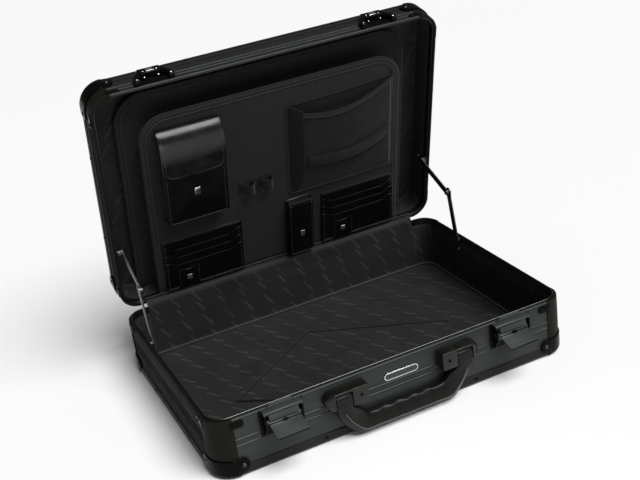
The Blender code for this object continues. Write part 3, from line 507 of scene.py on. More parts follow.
def add_rivet(shape, spot, normal, radius, rise):
    """A domed head with a thin flange, standing on spot."""
    spot, normal = Vector(spot), Vector(normal).normalized()
    side = normal.orthogonal().normalized()
    other = normal.cross(side)
    made = []
    for step in range(RIVET_SIDES):
        angle = 2 * math.pi * step / RIVET_SIDES
        out = side * math.cos(angle) + other * math.sin(angle)
        row = [spot + out * radius * a + normal * rise * b for a, b in RIVET_PROFILE]
        made.append([shape.verts.new(point) for point in row])
    for here, there in zip(made, made[1:] + made[:1]):
        for j in range(len(RIVET_PROFILE) - 1):
            shape.faces.new((here[j], here[j + 1], there[j + 1], there[j]))
    shape.faces.new([row[0] for row in made])
    shape.faces.new([row[-1] for row in made])


def rivets(name, spots, look, body, matrix=WORLD, slot="stay_steel"):
    """A set of rivets, each given as (place, direction, radius)."""
    shape = bmesh.new()
    for spot, normal, radius in spots:
        add_rivet(shape, spot, normal, radius, radius * 0.5)
    return piece(shape, name, look, body, matrix, slot=slot)


def tube(points, radius, closed=False, steps=10, shape=None):
    """A round cord along a line of points."""
    points = [Vector(point) for point in points]
    rows = []
    count = len(points)
    side = None
    for index, point in enumerate(points):
        before = points[index - 1] if index or closed else point
        after = points[(index + 1) % count] if index < count - 1 or closed else point
        along = (after - before).normalized()
        side = along.orthogonal().normalized() if side is None else side
        side = (side - along * side.dot(along)).normalized()
        other = along.cross(side)
        angles = [2 * math.pi * step / steps for step in range(steps)]
        rows.append([point + (side * math.cos(a) + other * math.sin(a)) * radius for a in angles])
    return skin(rows, ring=True, closed=closed, capped=not closed, shape=shape)


def resampled(points, pitch):
    """Points a steady pitch apart along a line, with the direction at each."""
    points = [Vector(point) for point in points]
    total = lengths(points, False)
    count = max(1, int(total[-1] / pitch))
    found, index = [], 0
    for step in range(count + 1):
        goal = total[-1] * step / count
        while index < len(points) - 2 and total[index + 1] < goal:
            index += 1
        part = (goal - total[index]) / max(total[index + 1] - total[index], 1e-9)
        along = (points[index + 1] - points[index]).normalized()
        found.append((points[index].lerp(points[index + 1], part), along))
    return found


def stitches(name, lines, slot, pitch=0.0042, length=0.0026, body="lid"):
    """Rows of short raised stitches along lines on a face that looks down from the shut lid."""
    normal = Vector((0, 0, -1))
    half_width, rise = 0.00032, 0.00030
    shape = bmesh.new()
    for line in lines:
        for point, along in resampled(line, pitch):
            side = normal.cross(along).normalized() * half_width
            reach = along * length / 2
            low = [point - reach, point + side - reach * 0.6, point + side + reach * 0.6]
            low += [point + reach, point - side + reach * 0.6, point - side - reach * 0.6]
            base = [shape.verts.new(spot - normal * rise * 0.5) for spot in low]
            ridge = [shape.verts.new(point + reach * share + normal * rise) for share in (-0.5, 0.5)]
            for a, b, c in ((0, 1, 0), (2, 3, 1), (3, 4, 1), (5, 0, 0)):
                shape.faces.new((base[a], base[b], ridge[c]))
            shape.faces.new((base[1], base[2], ridge[1], ridge[0]))
            shape.faces.new((base[4], base[5], ridge[0], ridge[1]))
            shape.faces.new(list(reversed(base)))
    return piece(shape, name, THREAD, body, LID, slot=slot)


def refined(node, look, edge, slot):
    """A CAD node's own shape with its edges rounded, standing for the node."""
    source = frame["nodes"][node]
    shape = bmesh.new()
    shape.from_mesh(source.data)
    bmesh.ops.remove_doubles(shape, verts=shape.verts, dist=SAME_POINT)
    flat = math.radians(FLAT_ANGLE)
    bmesh.ops.dissolve_limit(shape, angle_limit=flat, verts=shape.verts, edges=shape.edges)
    body = source["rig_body"]
    return piece(shape, node + "_detail", look, body, stands_for=(node,), slot=slot, edge=edge,
                 steps=3, sharp=32)


# The shell ---------------------------------------------------------------------------------

# The heights of the two ribs on the walls of each half.
BASE_RIBS = (0.0390, 0.0470)
LID_RIBS = (0.0160, 0.0100)
RIB_HALF = 0.0011
GROOVE = 0.0002
GROOVE_NEAR = 0.0016
GROOVE_FAR = 0.0020
LIP_SHEET = 0.0012
TRIM_RIVET_X = 0.099
TRIM_RIVET_Y = 0.060
TRIM_RIVET_Z = 0.0082
TRIM_RIVET = 0.0022
CORNER_STEPS = 18
POST_LOW = 0.0140
CAP_PROUD = 0.0026
CAP_RIVET_Z = 0.0150
CAP_RIVET = 0.0026
CLIP_LENGTH = 0.0125
CLIP_PROUD = 0.0016
CLIP_RIVET = 0.0020
CLIP_CUT = 0.002
# Tabs start this far inside the corner's round part.
CLIP_OVERLAP = 0.004
EAR_OVERLAP = 0.003


def half_round(centre, half, proud, sign, steps=6):
    """(outward, up) points over a bead on a wall, in the direction of sign."""
    angles = [math.pi * step / steps for step in range(steps + 1)]
    return [(proud * math.sin(a), centre - sign * half * math.cos(a)) for a in angles]


def wall_section(foot, rim, ribs):
    """A wall's section: two ribs with a groove beside each, and a bead on the rim."""
    sign = 1 if rim > foot else -1
    points = [(-WALL, foot), (-0.0002, foot), (0.0, foot + sign * 0.0003)]
    for rib in sorted(ribs, reverse=sign < 0):
        points += [(0.0, rib - sign * GROOVE_FAR), (-GROOVE, rib - sign * GROOVE_NEAR)]
        points += half_round(rib, RIB_HALF, PROUD, sign)
        points += [(-GROOVE, rib + sign * GROOVE_NEAR), (0.0, rib + sign * GROOVE_FAR)]
    bead = rim - sign * 0.0016
    points += [(0.0, bead - sign * 0.0014), (-GROOVE, bead - sign * 0.0011)]
    points += half_round(bead, 0.0009, 0.0005, sign, 4)
    return points + [(-0.0002, rim - sign * 0.0003), (-0.0006, rim), (-WALL, rim)]


def walls(body, section, matrix):
    run_x, run_y = HALF_X - RADIUS, HALF_Y - RADIUS
    # The lid's long walls take a painted-shade copy of the anodised colour.
    long_side = ANODISED if body == "base" else ANODISED_LID_SHADE
    sides = {
        "front": (Vector((0, -1, 0)), Vector((1, 0, 0)), HALF_Y, run_x, long_side),
        "rear": (Vector((0, 1, 0)), Vector((1, 0, 0)), HALF_Y, run_x, long_side),
        # The side walls take the painted-shade copy of the anodised colour.
        "left": (Vector((-1, 0, 0)), Vector((0, 1, 0)), HALF_X, run_y, ANODISED_SIDE_SHADE),
        "right": (Vector((1, 0, 0)), Vector((0, 1, 0)), HALF_X, run_y, ANODISED_SIDE_SHADE),
    }
    for side, (outward, along, reach, run, look) in sides.items():
        path = [(outward * reach + along * end, outward) for end in (-run, run)]
        shape = swept(section, path, closed=False, capped=True)
        piece(shape, f"{body}_{side}_wall_extrusion", look, body, matrix,
              (f"{body}_wall_{side}",), "wall_aluminium", sharp=55)


def trim_section(height, top, flip):
    """The edge moulding's section: a bead on its edge, a round nose and a flange under the panel."""
    nose, flange, sheet, bead = 0.0052, 0.0110, 0.0015, PROUD + 0.0001
    points = [(-WALL, top), (PROUD - 0.0004, top), (bead, top - 0.0004), (bead, top - 0.0016)]
    points += [(PROUD - 0.0001, top - 0.0020), (PROUD, top - 0.0024)]
    points += arc((PROUD - nose, nose), nose, 0, -90, 10)
    points += [(-flange, 0.0), (-flange, sheet), (-WALL, sheet)]
    return [(out, height - up) for out, up in points] if flip else points


def shell():
    walls("base", wall_section(TRIM_TOP + FIT, RIM, BASE_RIBS), WORLD)
    walls("lid", wall_section(LID_WALL_TOP, SEAM, LID_RIBS), LID)
    around = outline_path(HALF_X, HALF_Y, RADIUS, 16)
    piece(swept(trim_section(0.0, TRIM_TOP, False), around), "base_trim_moulding", TRIM, "base",
          stands_for=("base_edge_trim",), slot="edge_trim", sharp=55)
    piece(swept(trim_section(LID_TOP, TRIM_TOP, True), around), "lid_trim_moulding", TRIM, "lid",
          LID, ("lid_edge_trim",), "edge_trim", sharp=55)
    for node in ("base_panel", "lid_panel"):
        panel = frame["nodes"][node]
        panel.data.materials.clear()
        panel.data.materials.append(PANEL)

    outer, inner, rounding = -WALL - FIT, -WALL - FIT - LIP_SHEET, 0.0003
    lip = [(outer, LIP_LOW), (outer, LIP_HIGH - rounding), (outer - rounding, LIP_HIGH)]
    lip += [(inner + rounding, LIP_HIGH), (inner, LIP_HIGH - rounding), (inner, LIP_LOW)]
    piece(swept(lip, around), "base_bright_lip", BRIGHT, "base", stands_for=("base_rim_lip",),
          slot="rim_lip")
    lip = [(out, LID_LIP_LOW + LIP_HIGH - up) for out, up in lip]
    piece(swept(lip, around), "lid_bright_lip", BRIGHT, "lid", LID, ("lid_rim_lip",), "rim_lip")

    spots = []
    for along in (-1, 1):
        for side in (-1, 1):
            spot = (along * TRIM_RIVET_X, side * (HALF_Y + PROUD), TRIM_RIVET_Z)
            spots.append((spot, (0, side, 0), TRIM_RIVET))
    for along in (-1, 1):
        for side in (-1, 1):
            spot = (side * (HALF_X + PROUD), along * TRIM_RIVET_Y, TRIM_RIVET_Z)
            spots.append((spot, (side, 0, 0), TRIM_RIVET))
    rivets("base_trim_rivets", spots, GLOSS, "base", slot="edge_trim")
    lid_spots = [((x, y, LID_TOP - z), n, r) for (x, y, z), n, r in spots]
    rivets("lid_trim_rivets", lid_spots, GLOSS, "lid", LID, "edge_trim")


def post_section(low, high, proud):
    """A corner post's section, a little fuller in its middle and rounded at both ends."""
    middle, half, steps, crown, edge = (low + high) / 2, (high - low) / 2, 12, 0.0004, 0.0006
    points = [(-WALL, low), (proud - edge, low)]
    for step in range(steps + 1):
        share = -1 + 2 * step / steps
        points.append((proud + crown * (1 - share * share), middle + share * (half - 0.0005)))
    return points + [(proud - edge, high), (-WALL, high)]


def cap_section():
    """A cap's section: it follows the moulding's round nose, with a rolled upper edge."""
    skin_in, out, top, nose = PROUD + 0.0004, 0.0026, 0.0240, 0.0062
    points = [(skin_in, top - 0.0004), (out - 0.0008, top), (out - 0.0001, top - 0.0006)]
    points += [(out, top - 0.0014)]
    points += arc((out - nose, nose), nose, 0, -62, 8)
    points += arc((skin_in - nose + 0.0006, nose - 0.0002), nose - 0.0012, -58, 0, 6)
    return points


def clip_outline(height):
    """A clip's outline, with both corners of its free end cut."""
    near = CLIP_LENGTH - CLIP_CUT
    outline = [(-CLIP_OVERLAP, 0), (0, 0), (near, 0), (CLIP_LENGTH, CLIP_CUT)]
    outline += [(CLIP_LENGTH, height - CLIP_CUT), (near, height), (0, height)]
    return outline + [(-CLIP_OVERLAP, height)]


def ear_outline(reach, half):
    """A cap's ear, with a round free end."""
    centre = (reach - half, half)
    outline = [(-EAR_OVERLAP, 0.0), (reach - half, 0.0)] + arc(centre, half, -90, 90, 10)
    return outline + [(-EAR_OVERLAP, 2 * half)]


def wall_tab(sign_x, sign_y, on_front, outline, low, near, far, shape):
    """Puts a flat tab on the end of a wall, measured from the corner's round part."""
    def place(a, b, depth):
        if on_front:
            return Vector((sign_x * (HALF_X - RADIUS - a), sign_y * (HALF_Y + depth), low + b))
        return Vector((sign_x * (HALF_X + depth), sign_y * (HALF_Y - RADIUS - a), low + b))

    return prism(outline, near, far, place, shape)


def tab_rivet(sign_x, sign_y, on_front, across, up, proud, radius):
    """A rivet on such a tab."""
    if on_front:
        spot = (sign_x * (HALF_X - RADIUS - across), sign_y * (HALF_Y + proud), up)
        return spot, (0, sign_y, 0), radius
    spot = (sign_x * (HALF_X + proud), sign_y * (HALF_Y - RADIUS - across), up)
    return spot, (sign_x, 0, 0), radius


def flipped(shape, height):
    """Turns a shape over about half a height, which makes a lid's piece of a base's."""
    for vertex in shape.verts:
        vertex.co.z = height - vertex.co.z
    return shape


def posts(corner, path):
    """The upright mouldings of one corner of both halves."""
    node = f"base_post_{corner}"
    post = swept(post_section(POST_LOW, RIM - 0.0002, 0.0009), path, closed=False, capped=True)
    piece(post, f"{node}_moulding", POST, "base", stands_for=(node,), slot="corner_post")
    post = swept(post_section(SEAM, LID_WALL_TOP, 0.0006), path, closed=False, capped=True)
    node = f"lid_corner_{corner}"
    piece(post, f"{node}_post", POST, "lid", LID, (node,), "corner_post")


def corners():
    """The posts, the clips over their ends and the caps, with their rivets."""
    clip_rivets, cap_rivets = {"base": [], "lid": []}, {"base": [], "lid": []}
    clip_places = {"base": (RIM - 0.0115, 0.0090), "lid": (0.0025, 0.0065)}
    for corner, signs in CORNERS.items():
        posts(corner, corner_path(*signs, 0.0002))
        for body, matrix in HALVES:
            clip_low, clip_height = clip_places[body]
            clips, cap = bmesh.new(), bmesh.new()
            swept(cap_section(), corner_path(*signs, 0.0006), closed=False, capped=True, shape=cap)
            for on_front in (True, False):
                outline = clip_outline(clip_height)
                wall_tab(*signs, on_front, outline, clip_low, 0.0004, CLIP_PROUD, clips)
                up = clip_low + clip_height / 2
                rivet = tab_rivet(*signs, on_front, 0.0082, up, CLIP_PROUD, CLIP_RIVET)
                clip_rivets[body].append(rivet)
                ear = ear_outline(0.0120, 0.0090)
                wall_tab(*signs, on_front, ear, 0.0060, PROUD + 0.0002, CAP_PROUD, cap)
                up = CAP_RIVET_Z if body == "base" else LID_TOP - CAP_RIVET_Z
                cap_rivets[body].append(tab_rivet(*signs, on_front, 0.0045, up, CAP_PROUD, CAP_RIVET))
            if body == "lid":
                flipped(cap, LID_TOP)
            name = f"{body}_clips_{corner}"
            piece(clips, name, GLOSS, body, matrix, slot="corner_cap", edge=0.0003)
            stands_for = (f"base_cap_{corner}",) if body == "base" else ()
            piece(cap, f"{body}_corner_cap_{corner}", GLOSS, body, matrix, stands_for, "corner_cap",
                  edge=0.0006, steps=3, sharp=50)
    for body, matrix in HALVES:
        rivets(f"{body}_clip_rivets", clip_rivets[body], BLACK_METAL, body, matrix)
        rivets(f"{body}_cap_rivets", cap_rivets[body], RIVET, body, matrix)


shell()
corners()




# Hardware ----------------------------------------------------------------------------------

FORWARD = (0, -1, 0)
FRONT_FACE = -HALF_Y - PROUD - FIT

HANDLE_PIVOT = Vector((0, -HALF_Y - 0.010, 0.057))
HANDLE_HALF = 0.0068
HANDLE_EYE = (0.0683, 0.0877)
EYE_RADIUS = 0.0067
# The outer and inner edge of the left arm in millimetres from the pivot, down to the grip.
HANDLE_ARM = (
    ((-88, 0), (-68, 0)), ((-88, -6), (-68, -7)), ((-88, -12), (-68, -12.5)),
    ((-86, -18.5), (-64.2, -15.6)), ((-83.5, -25.5), (-59.8, -19.2)),
    ((-81, -31.5), (-56.4, -22.4)), ((-77, -37), (-54.5, -25.0)),
    ((-72.8, -42), (-52.2, -27.2)), ((-69.3, -46.5), (-49.5, -28.8)),
    ((-66.0, -50.6), (-46.0, -29.8)), ((-62.0, -53.2), (-42.0, -30.0)),
    ((-58.0, -54.0), (-38.0, -30.0)),
)
GRIP_OUTER = Vector((-0.058, 0, -0.054))
GRIP_INNER = Vector((-0.038, 0, -0.030))
GRIP_ROWS = 19
RIDGE_SHARE = 0.68
RIDGE_RADIUS = 0.0004
# How far the section drops from its ridge, as shares of HANDLE_HALF, and the long face's crown.
RIDGE_RISE = 0.03
INNER_DROP = 0.80
OUTER_DROP = 0.85
FACE_CROWN = 0.0006
WAVE_PITCH = 0.0185
WAVE_REACH = 0.040
WAVE_RISE = 0.0006
WAVE_SWELL = 0.0014


def handle_front(share, ridge, wave):
    """How far the handle's front stands out at a share of its width, from its inner edge."""
    near = HANDLE_HALF * (1 - INNER_DROP * ridge) - wave
    crest = HANDLE_HALF * (1 + RIDGE_RISE * ridge)
    far = HANDLE_HALF * (1 - OUTER_DROP * ridge)
    if share < RIDGE_SHARE:
        part = share / RIDGE_SHARE
        return near + (crest - near) * part + FACE_CROWN * math.sin(math.pi * part)
    return crest + (far - crest) * (share - RIDGE_SHARE) / (1 - RIDGE_SHARE)


def handle_section(inner, outer, ridge, wave):
    """A section between two edge points: a long face to a ridge, and a short one past it."""
    side, shoulder, rounding = 0.0040, 0.0058, 0.0012
    outline = [(0.06, HANDLE_HALF), (0.012, shoulder), (0.0, side)]
    outline.append((0.0, rounding - handle_front(0.0, ridge, wave)))
    for share in (0.04, 0.12, 0.22, 0.34, 0.46, 0.58, RIDGE_SHARE, 0.78, 0.88, 0.96):
        swell = wave * max(0.0, 1 - share / RIDGE_SHARE)
        outline.append((share, -handle_front(share, ridge, swell)))
    outline.append((1.0, rounding - handle_front(1.0, ridge, 0.0)))
    outline += [(1.0, side), (0.988, shoulder), (0.94, HANDLE_HALF)]
    return [inner.lerp(outer, share) + Vector((0, out, 0)) for share, out in outline]


def ridge_at(index, count):
    """The ridge fades out towards both ends of the handle."""
    return min(1.0, max(0.0, (min(index, count - 1 - index) - 2) / 3))


def handle_edges():
    """(outer, inner) edge points of the whole handle, from its left pivot to its right one."""
    edges = [tuple(Vector((x, 0, z)) / 1000 for x, z in pair) for pair in HANDLE_ARM]
    for step in range(1, GRIP_ROWS + 1):
        share = 1 - step / GRIP_ROWS
        edges.append(tuple(Vector((end.x * share, 0, end.z)) for end in (GRIP_OUTER, GRIP_INNER)))
    other = [tuple(Vector((-end.x, 0, end.z)) for end in pair) for pair in reversed(edges[:-1])]
    return edges + other


def handle():
    """The carrying handle: flattened arms and a grip with finger waves."""
    rows, crest = [], []
    edges = handle_edges()
    for index, (outer, inner) in enumerate(edges):
        inner = inner.copy()
        wave = 0.0
        if inner.z < GRIP_INNER.z + 0.001:
            fade = max(0.0, 1 - (abs(inner.x) / WAVE_REACH) ** 6)
            wave = math.cos(2 * math.pi * inner.x / WAVE_PITCH + math.pi) * fade
            inner.z += WAVE_RISE * wave
        ridge = ridge_at(index, len(edges))
        section = handle_section(inner, outer, ridge, WAVE_SWELL * wave)
        rows.append([HANDLE_PIVOT + point for point in section])
        front = Vector((0, handle_front(RIDGE_SHARE, ridge, 0.0), 0))
        crest.append(HANDLE_PIVOT + inner.lerp(outer, RIDGE_SHARE) - front)
    shape = skin(rows, ring=True, capped=True)
    for sign in (-1, 1):
        near, far = (HANDLE_PIVOT + Vector((sign * x, 0, 0)) for x in HANDLE_EYE)
        add_rod(shape, near, far, EYE_RADIUS, 28)
    piece(shape, "handle_moulded_grip", GRIP, "handle", stands_for=("handle",),
          slot="handle_moulding", edge=0.0005, sharp=40)
    # A pale cord along the grip's ridge is a painted highlight on its edge.
    ridge_highlight = tube(crest[3:-3], RIDGE_RADIUS, steps=8)
    piece(ridge_highlight, "handle_ridge_highlight", RIDGE_HIGHLIGHT, "handle", slot="handle_moulding")


BRACKET_FRONT = -HALF_Y - 0.0170
BRACKET_HALF = 0.0110
BRACKET_BLOCK = (0.0480, 0.0674)
BRACKET_NOSE = (0.0886, 0.0990)
BRACKET_SLOT = (0.0660, 0.0900)
BRACKET_BRIDGE = (0.0653, 0.0680)
BRACKET_PLATE = (0.0460, 0.0660)
BRACKET_PLATE_SHEET = 0.0015
BRACKET_SCREW_X = 0.0570
BRACKET_SCREW = 0.0022
BRACKET_PIN = (0.0640, 0.0905)
BRACKET_PIN_RADIUS = 0.0021


def rectangle(sign, across, up):
    """A rectangle's outline, from its two ends across and its two heights."""
    corners = ((across[0], up[0]), (across[1], up[0]), (across[1], up[1]), (across[0], up[1]))
    return [(sign * x, z) for x, z in corners]


def bracket_nose(shape, sign):
    """The outer cheek of a bracket, which narrows and drops back towards its end."""
    middle, chamfer = HANDLE_PIVOT.z, 0.0025
    sections = []
    for share in (0.0, 0.25, 0.5, 0.75, 0.92, 1.0):
        x = sign * (BRACKET_NOSE[0] + (BRACKET_NOSE[1] - BRACKET_NOSE[0]) * share)
        half = BRACKET_HALF * (1 - share ** 2 * 0.62)
        reach = BRACKET_FRONT + 0.0085 * share ** 1.7
        section = [(FRONT_FACE, -half), (FRONT_FACE, half), (reach + chamfer, half)]
        section += [(reach, half * 0.72), (reach, half * -0.72), (reach + chamfer, -half)]
        sections.append([Vector((x, y, middle + z)) for y, z in section])
    skin(sections, ring=True, capped=True, shape=shape)


def handle_brackets():
    """Cast brackets, each with a slot for the handle's eye and a pin across it."""
    low, high = HANDLE_PIVOT.z - BRACKET_HALF, HANDLE_PIVOT.z + BRACKET_HALF
    for side, sign in (("left", -1), ("right", 1)):
        block = rectangle(sign, BRACKET_BLOCK, (low, high))
        shape = prism(block, FRONT_FACE, BRACKET_FRONT, front_place)
        bracket_nose(shape, sign)
        bridge = rectangle(sign, BRACKET_SLOT, BRACKET_BRIDGE)
        prism(bridge, FRONT_FACE, BRACKET_FRONT, front_place, shape)
        plate_outline = rectangle(sign, BRACKET_SLOT, BRACKET_PLATE)
        prism(plate_outline, FRONT_FACE, FRONT_FACE - BRACKET_PLATE_SHEET, front_place, shape)
        node = f"handle_bracket_{side}"
        piece(shape, f"{node}_casting", CASTING, "base", stands_for=(node,), slot="bracket_casting",
              edge=0.0012, steps=3, sharp=34)
        pin = bmesh.new()
        near, far = ((sign * x, HANDLE_PIVOT.y, HANDLE_PIVOT.z) for x in BRACKET_PIN)
        add_rod(pin, near, far, BRACKET_PIN_RADIUS)
        piece(pin, f"{node}_pin", BLACK_METAL, "base", slot="hinge_pin", edge=0.0003)
        spot = (sign * BRACKET_SCREW_X, BRACKET_FRONT, HANDLE_PIVOT.z)
        rivets(f"{node}_rivets", [(spot, FORWARD, BRACKET_SCREW)], BLACK_METAL, "base")


def badge():
    """A blank nameplate: a bright frame round a satin face."""
    frame_width = 0.0013
    low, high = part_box("badge_plate")
    half, middle = (high.z - low.z) / 2, (high.z + low.z) / 2
    refined("badge_plate", CHROME, 0.0002, "badge_metal")
    inset = half - frame_width
    outline = arc((high.x - half, middle), inset, -90, 90, 10)
    outline += arc((low.x + half, middle), inset, 90, 270, 10)
    face = prism(outline, low.y + 0.0001, low.y - 0.00012, front_place)
    piece(face, "badge_satin_face", LATCH_PLATE, "base", slot="badge_metal")


LATCH_X = 0.148
LATCH_STRIP_HALF = 0.0236
LATCH_COVER_HALF = 0.0178
LATCH_COVER_FOOT = (0.0634, 0.0632)
LEVER_PIVOT = Vector((0, -HALF_Y - 0.0080, 0.0605))
LEVER_SLOPE = Vector((0, 0.857, 0.514))
LEVER_NORMAL = Vector((0, -0.514, 0.857))
LEVER_CREASE = LEVER_PIVOT + Vector((0, -0.0050, -0.0003))
LEVER_TIP = LEVER_PIVOT + Vector((0, -0.0246, -0.0086))
LEVER_TIP_HALF = 0.0187
SLIT_HALF = 0.0186
KEEPER_FRONT = FRONT_FACE - 0.0060
KEEPER_BACK = KEEPER_FRONT + 0.0046
KEEPER_BACK_SHEET = 0.0012
# Half the distance between two rivets, their height over the seam, and their radius.
KEEPER_RIVETS = ((0.0208, 0.0072, 0.0014), (0.0085, 0.0235, 0.0011))
KEEPER_SCREWS = (0.0085, 0.0172, 0.0014)
# Half outlines, as (distance from the middle, height over the seam).
KEEPER_BACK_EDGE = ((0.0172, 0.0050), (0.0172, 0.0120), (0.0110, 0.0200))
KEEPER_CATCH_EDGE = ((0.0050, 0.0205), (0.0040, 0.0275))


def latch_top(x, low, high):
    """The top strip of a latch housing and the plate that slopes from it over the lever."""
    strip = [(low.y + 0.0004, high.z - 0.0005), (low.y + 0.0022, high.z + 0.0006)]
    strip += [(high.y - 0.0006, high.z + 0.0006), (high.y - 0.0002, high.z - 0.0002)]
    strip += [(low.y + 0.0030, high.z - 0.0014), (low.y + 0.0010, high.z - 0.0030)]
    shape = prism(strip, x - LATCH_STRIP_HALF, x + LATCH_STRIP_HALF, side_place)
    cover = [(low.y + 0.0030, high.z - 0.0012), (low.y + 0.0022, high.z - 0.0012)]
    cover += [(low.y - 0.0004, LATCH_COVER_FOOT[0]), (low.y + 0.0006, LATCH_COVER_FOOT[1])]
    return prism(cover, x - LATCH_COVER_HALF, x + LATCH_COVER_HALF, side_place, shape)


def lever_slit(x):
    """The slit across a lever at its crease, wider in the middle, drawn as a black strip: painted shade in
    the gap.
    """
    upper = [(-SLIT_HALF, 0.0006), (-0.0045, 0.0006), (-0.0028, 0.0014), (0.0, 0.0019)]
    upper += [(-a, b) for a, b in reversed(upper[:-1])]
    outline = upper + [(a, -b) for a, b in reversed(upper)]

    def on_lever(a, b, depth):
        return LEVER_CREASE + Vector((x + a, 0, 0)) + LEVER_SLOPE * b + LEVER_NORMAL * depth

    return prism(outline, 0.0005, -0.0006, on_lever)


def both_sides(x, edge):
    """A whole outline about x from its right half, which runs upwards."""
    (first, low), rest = edge[0], edge[1:]
    outline = [(x - first, low), (x + first, low)] + [(x + a, b) for a, b in rest]
    return outline + [(x - a, b) for a, b in reversed(rest)]


def rivet_pair(x, front, half, height, radius):
    return [((x + a, front, height), FORWARD, radius) for a in (-half, half)]


def keeper_details(x, node):
    """A keeper's rivets, the plate behind its mouth with two screws, and its catch."""
    spots = [spot for pair in KEEPER_RIVETS for spot in rivet_pair(x, KEEPER_FRONT, *pair)]
    rivets(f"{node}_rivets", spots, CHROME, "lid", LID)
    outline = both_sides(x, KEEPER_BACK_EDGE)
    back = prism(outline, KEEPER_BACK, KEEPER_BACK + KEEPER_BACK_SHEET, front_place)
    piece(back, f"{node}_back", GLOSS, "lid", LID, slot="latch_casting", edge=0.0003)
    spots = rivet_pair(x, KEEPER_BACK, *KEEPER_SCREWS)
    rivets(f"{node}_screws", spots, CHROME, "lid", LID)
    outline = both_sides(x, KEEPER_CATCH_EDGE)
    block = prism(outline, KEEPER_FRONT + 0.0005, KEEPER_FRONT - 0.0009, front_place)
    piece(block, f"{node}_catch", CHROME, "lid", LID, slot="tongue_steel", edge=0.0004)


def latches():
    for side, sign in (("left", -1), ("right", 1)):
        x = sign * LATCH_X
        housing, lever, keeper = (f"latch_{part}_{side}" for part in ("housing", "lever", "keeper"))
        refined(housing, BLACK_METAL, 0.0005, "latch_casting")
        refined(lever, LATCH_PLATE, 0.0004, "latch_casting")
        refined(f"latch_tongue_{side}", LATCH_PLATE, 0.0004, "tongue_steel")
        refined(keeper, BLACK_METAL, 0.0008, "latch_casting")
        piece(latch_top(x, *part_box(housing)), f"{housing}_top_cover", LATCH_PLATE, "base",
              slot="wall_aluminium", edge=0.0003)
        piece(lever_slit(x), f"{lever}_slit", GLOSS, lever, slot="latch_casting")
        # A black rod along the lever's tip paints the shade on its edge.
        edge = bmesh.new()
        near, far = (LEVER_TIP + Vector((x + end, 0, 0)) for end in (-LEVER_TIP_HALF, LEVER_TIP_HALF))
        add_rod(edge, near, far, 0.0010, 16)
        piece(edge, f"{lever}_shade_edge", GLOSS, lever, slot="latch_casting", edge=0.0002)
        keeper_details(x, keeper)


STAY_RIVET = (0.2228, HALF_Y - 0.090)
STAY_RIVET_RADIUS = 0.0022
STAY_RIVET_Z = {"base": 0.0560, "lid": 0.0185}


def stays():
    """The stays' links, and the rivets on the linings that hold their ends."""
    for side, sign in (("left", -1), ("right", 1)):
        for part in ("lower", "upper"):
            refined(f"stay_{part}_link_{side}", STEEL, 0.0003, "stay_steel")
        for body, matrix in HALVES:
            spot = (sign * STAY_RIVET[0], STAY_RIVET[1], STAY_RIVET_Z[body])
            rivets(f"{body}_lining_rivet_{side}", [(spot, (-sign, 0, 0), STAY_RIVET_RADIUS)], CHROME,
                   body, matrix)


HINGE_RIVETS = 14
HINGE_RUN = 0.376
HINGE_FACE = HALF_Y + FIT + 0.0010


def hinge_hardware():
    for leaf in ("hinge_base_leaf", "hinge_lid_leaf"):
        refined(leaf, BLACK_METAL, 0.0002, "hinge_leaf")
    refined("hinge_pin", CHROME, 0.0002, "hinge_pin")
    for body, matrix, z in (("base", WORLD, RIM - 0.0060), ("lid", LID, 0.0060)):
        spots = []
        for step in range(HINGE_RIVETS):
            x = HINGE_RUN * ((step + 0.5) / HINGE_RIVETS - 0.5)
            spots.append(((x, HINGE_FACE, z), (0, 1, 0), 0.0018))
        rivets(f"{body}_hinge_rivets", spots, CHROME, body, matrix)


handle()
handle_brackets()
badge()
latches()
stays()
hinge_hardware()


# Lining ------------------------------------------------------------------------------------

FLOOR_TOP = FLOOR + LINING
FILLET = 0.0050
CLOTH_ABOVE = 0.0004
CLOTH_BORDER = LINED + 0.0038
CLOTH_LOOPS = 44
CLOTH_POINTS = 420
# A pressed fold runs between these two points of the floor.
FLOOR_FOLD = (Vector((0.130, -0.026, 0)), Vector((0.205, 0.017, 0)))
FOLD_DEPTH = 0.0007
FOLD_WIDTH = 0.0030
PIPING_INSET = LINED + 0.0030
PIPING_RADIUS = 0.00125
SEAM_RADIUS = 0.0006


def wander(point, scale, seed=0.0):
    """A smooth random value between about -1 and 1."""
    return noise.noise(Vector((point.x * scale + seed, point.y * scale - seed, point.z * scale)))


def lining_walls(name, low, high, flip, body, matrix):
    """The cloth on the inside of the walls, soft at its foot and gathered a little in corners."""
    hem, steps = 0.004, 9
    inner, outer = -LINED, -WALL - FIT
    profile = [(outer, high), (inner + 0.0004, high), (inner, high - 0.0006)]
    fall = high - low - FILLET - hem
    profile += [(inner, high - hem - fall * step / steps) for step in range(steps + 1)]
    profile += arc((inner - FILLET, low + FILLET), FILLET, 0, -90, 6)
    profile += [(inner - FILLET - 0.002, low + 0.0002)]
    rows = []
    for point, outward in outline_path(HALF_X, HALF_Y, RADIUS, 20, 0.006):
        corner = min(abs(outward.x), abs(outward.y))
        gather = math.sin(14 * math.atan2(outward.y, outward.x)) * min(1.0, corner * 3)
        row = []
        for index, (out, up) in enumerate(profile):
            spot = point + outward * out + Vector((0, 0, up))
            if 2 < index < len(profile) - 2:
                push = 0.00045 * (1 + wander(spot, 38.0, 3.0)) + 0.00030 * (1 + gather)
                spot -= outward * push * min(1.0, (high - up) / 0.010)
            row.append(Vector((spot.x, spot.y, high + low - spot.z)) if flip else spot)
        rows.append(row)
    return piece(skin(rows, closed=True), name, PRINT, body, matrix, slot="lining_fabric", sharp=60)


def fold_drop(point):
    """How far the pressed fold lowers the floor cloth at a point."""
    start, end = FLOOR_FOLD
    line = end - start
    share = max(0.0, min(1.0, (point - start).dot(line) / line.length_squared))
    away = (point - start - line * share).length
    ease = min(1.0, share * 8 + 0.2, (1 - share) * 8 + 0.2)
    return FOLD_DEPTH * math.exp(-((away / FOLD_WIDTH) ** 2)) * ease


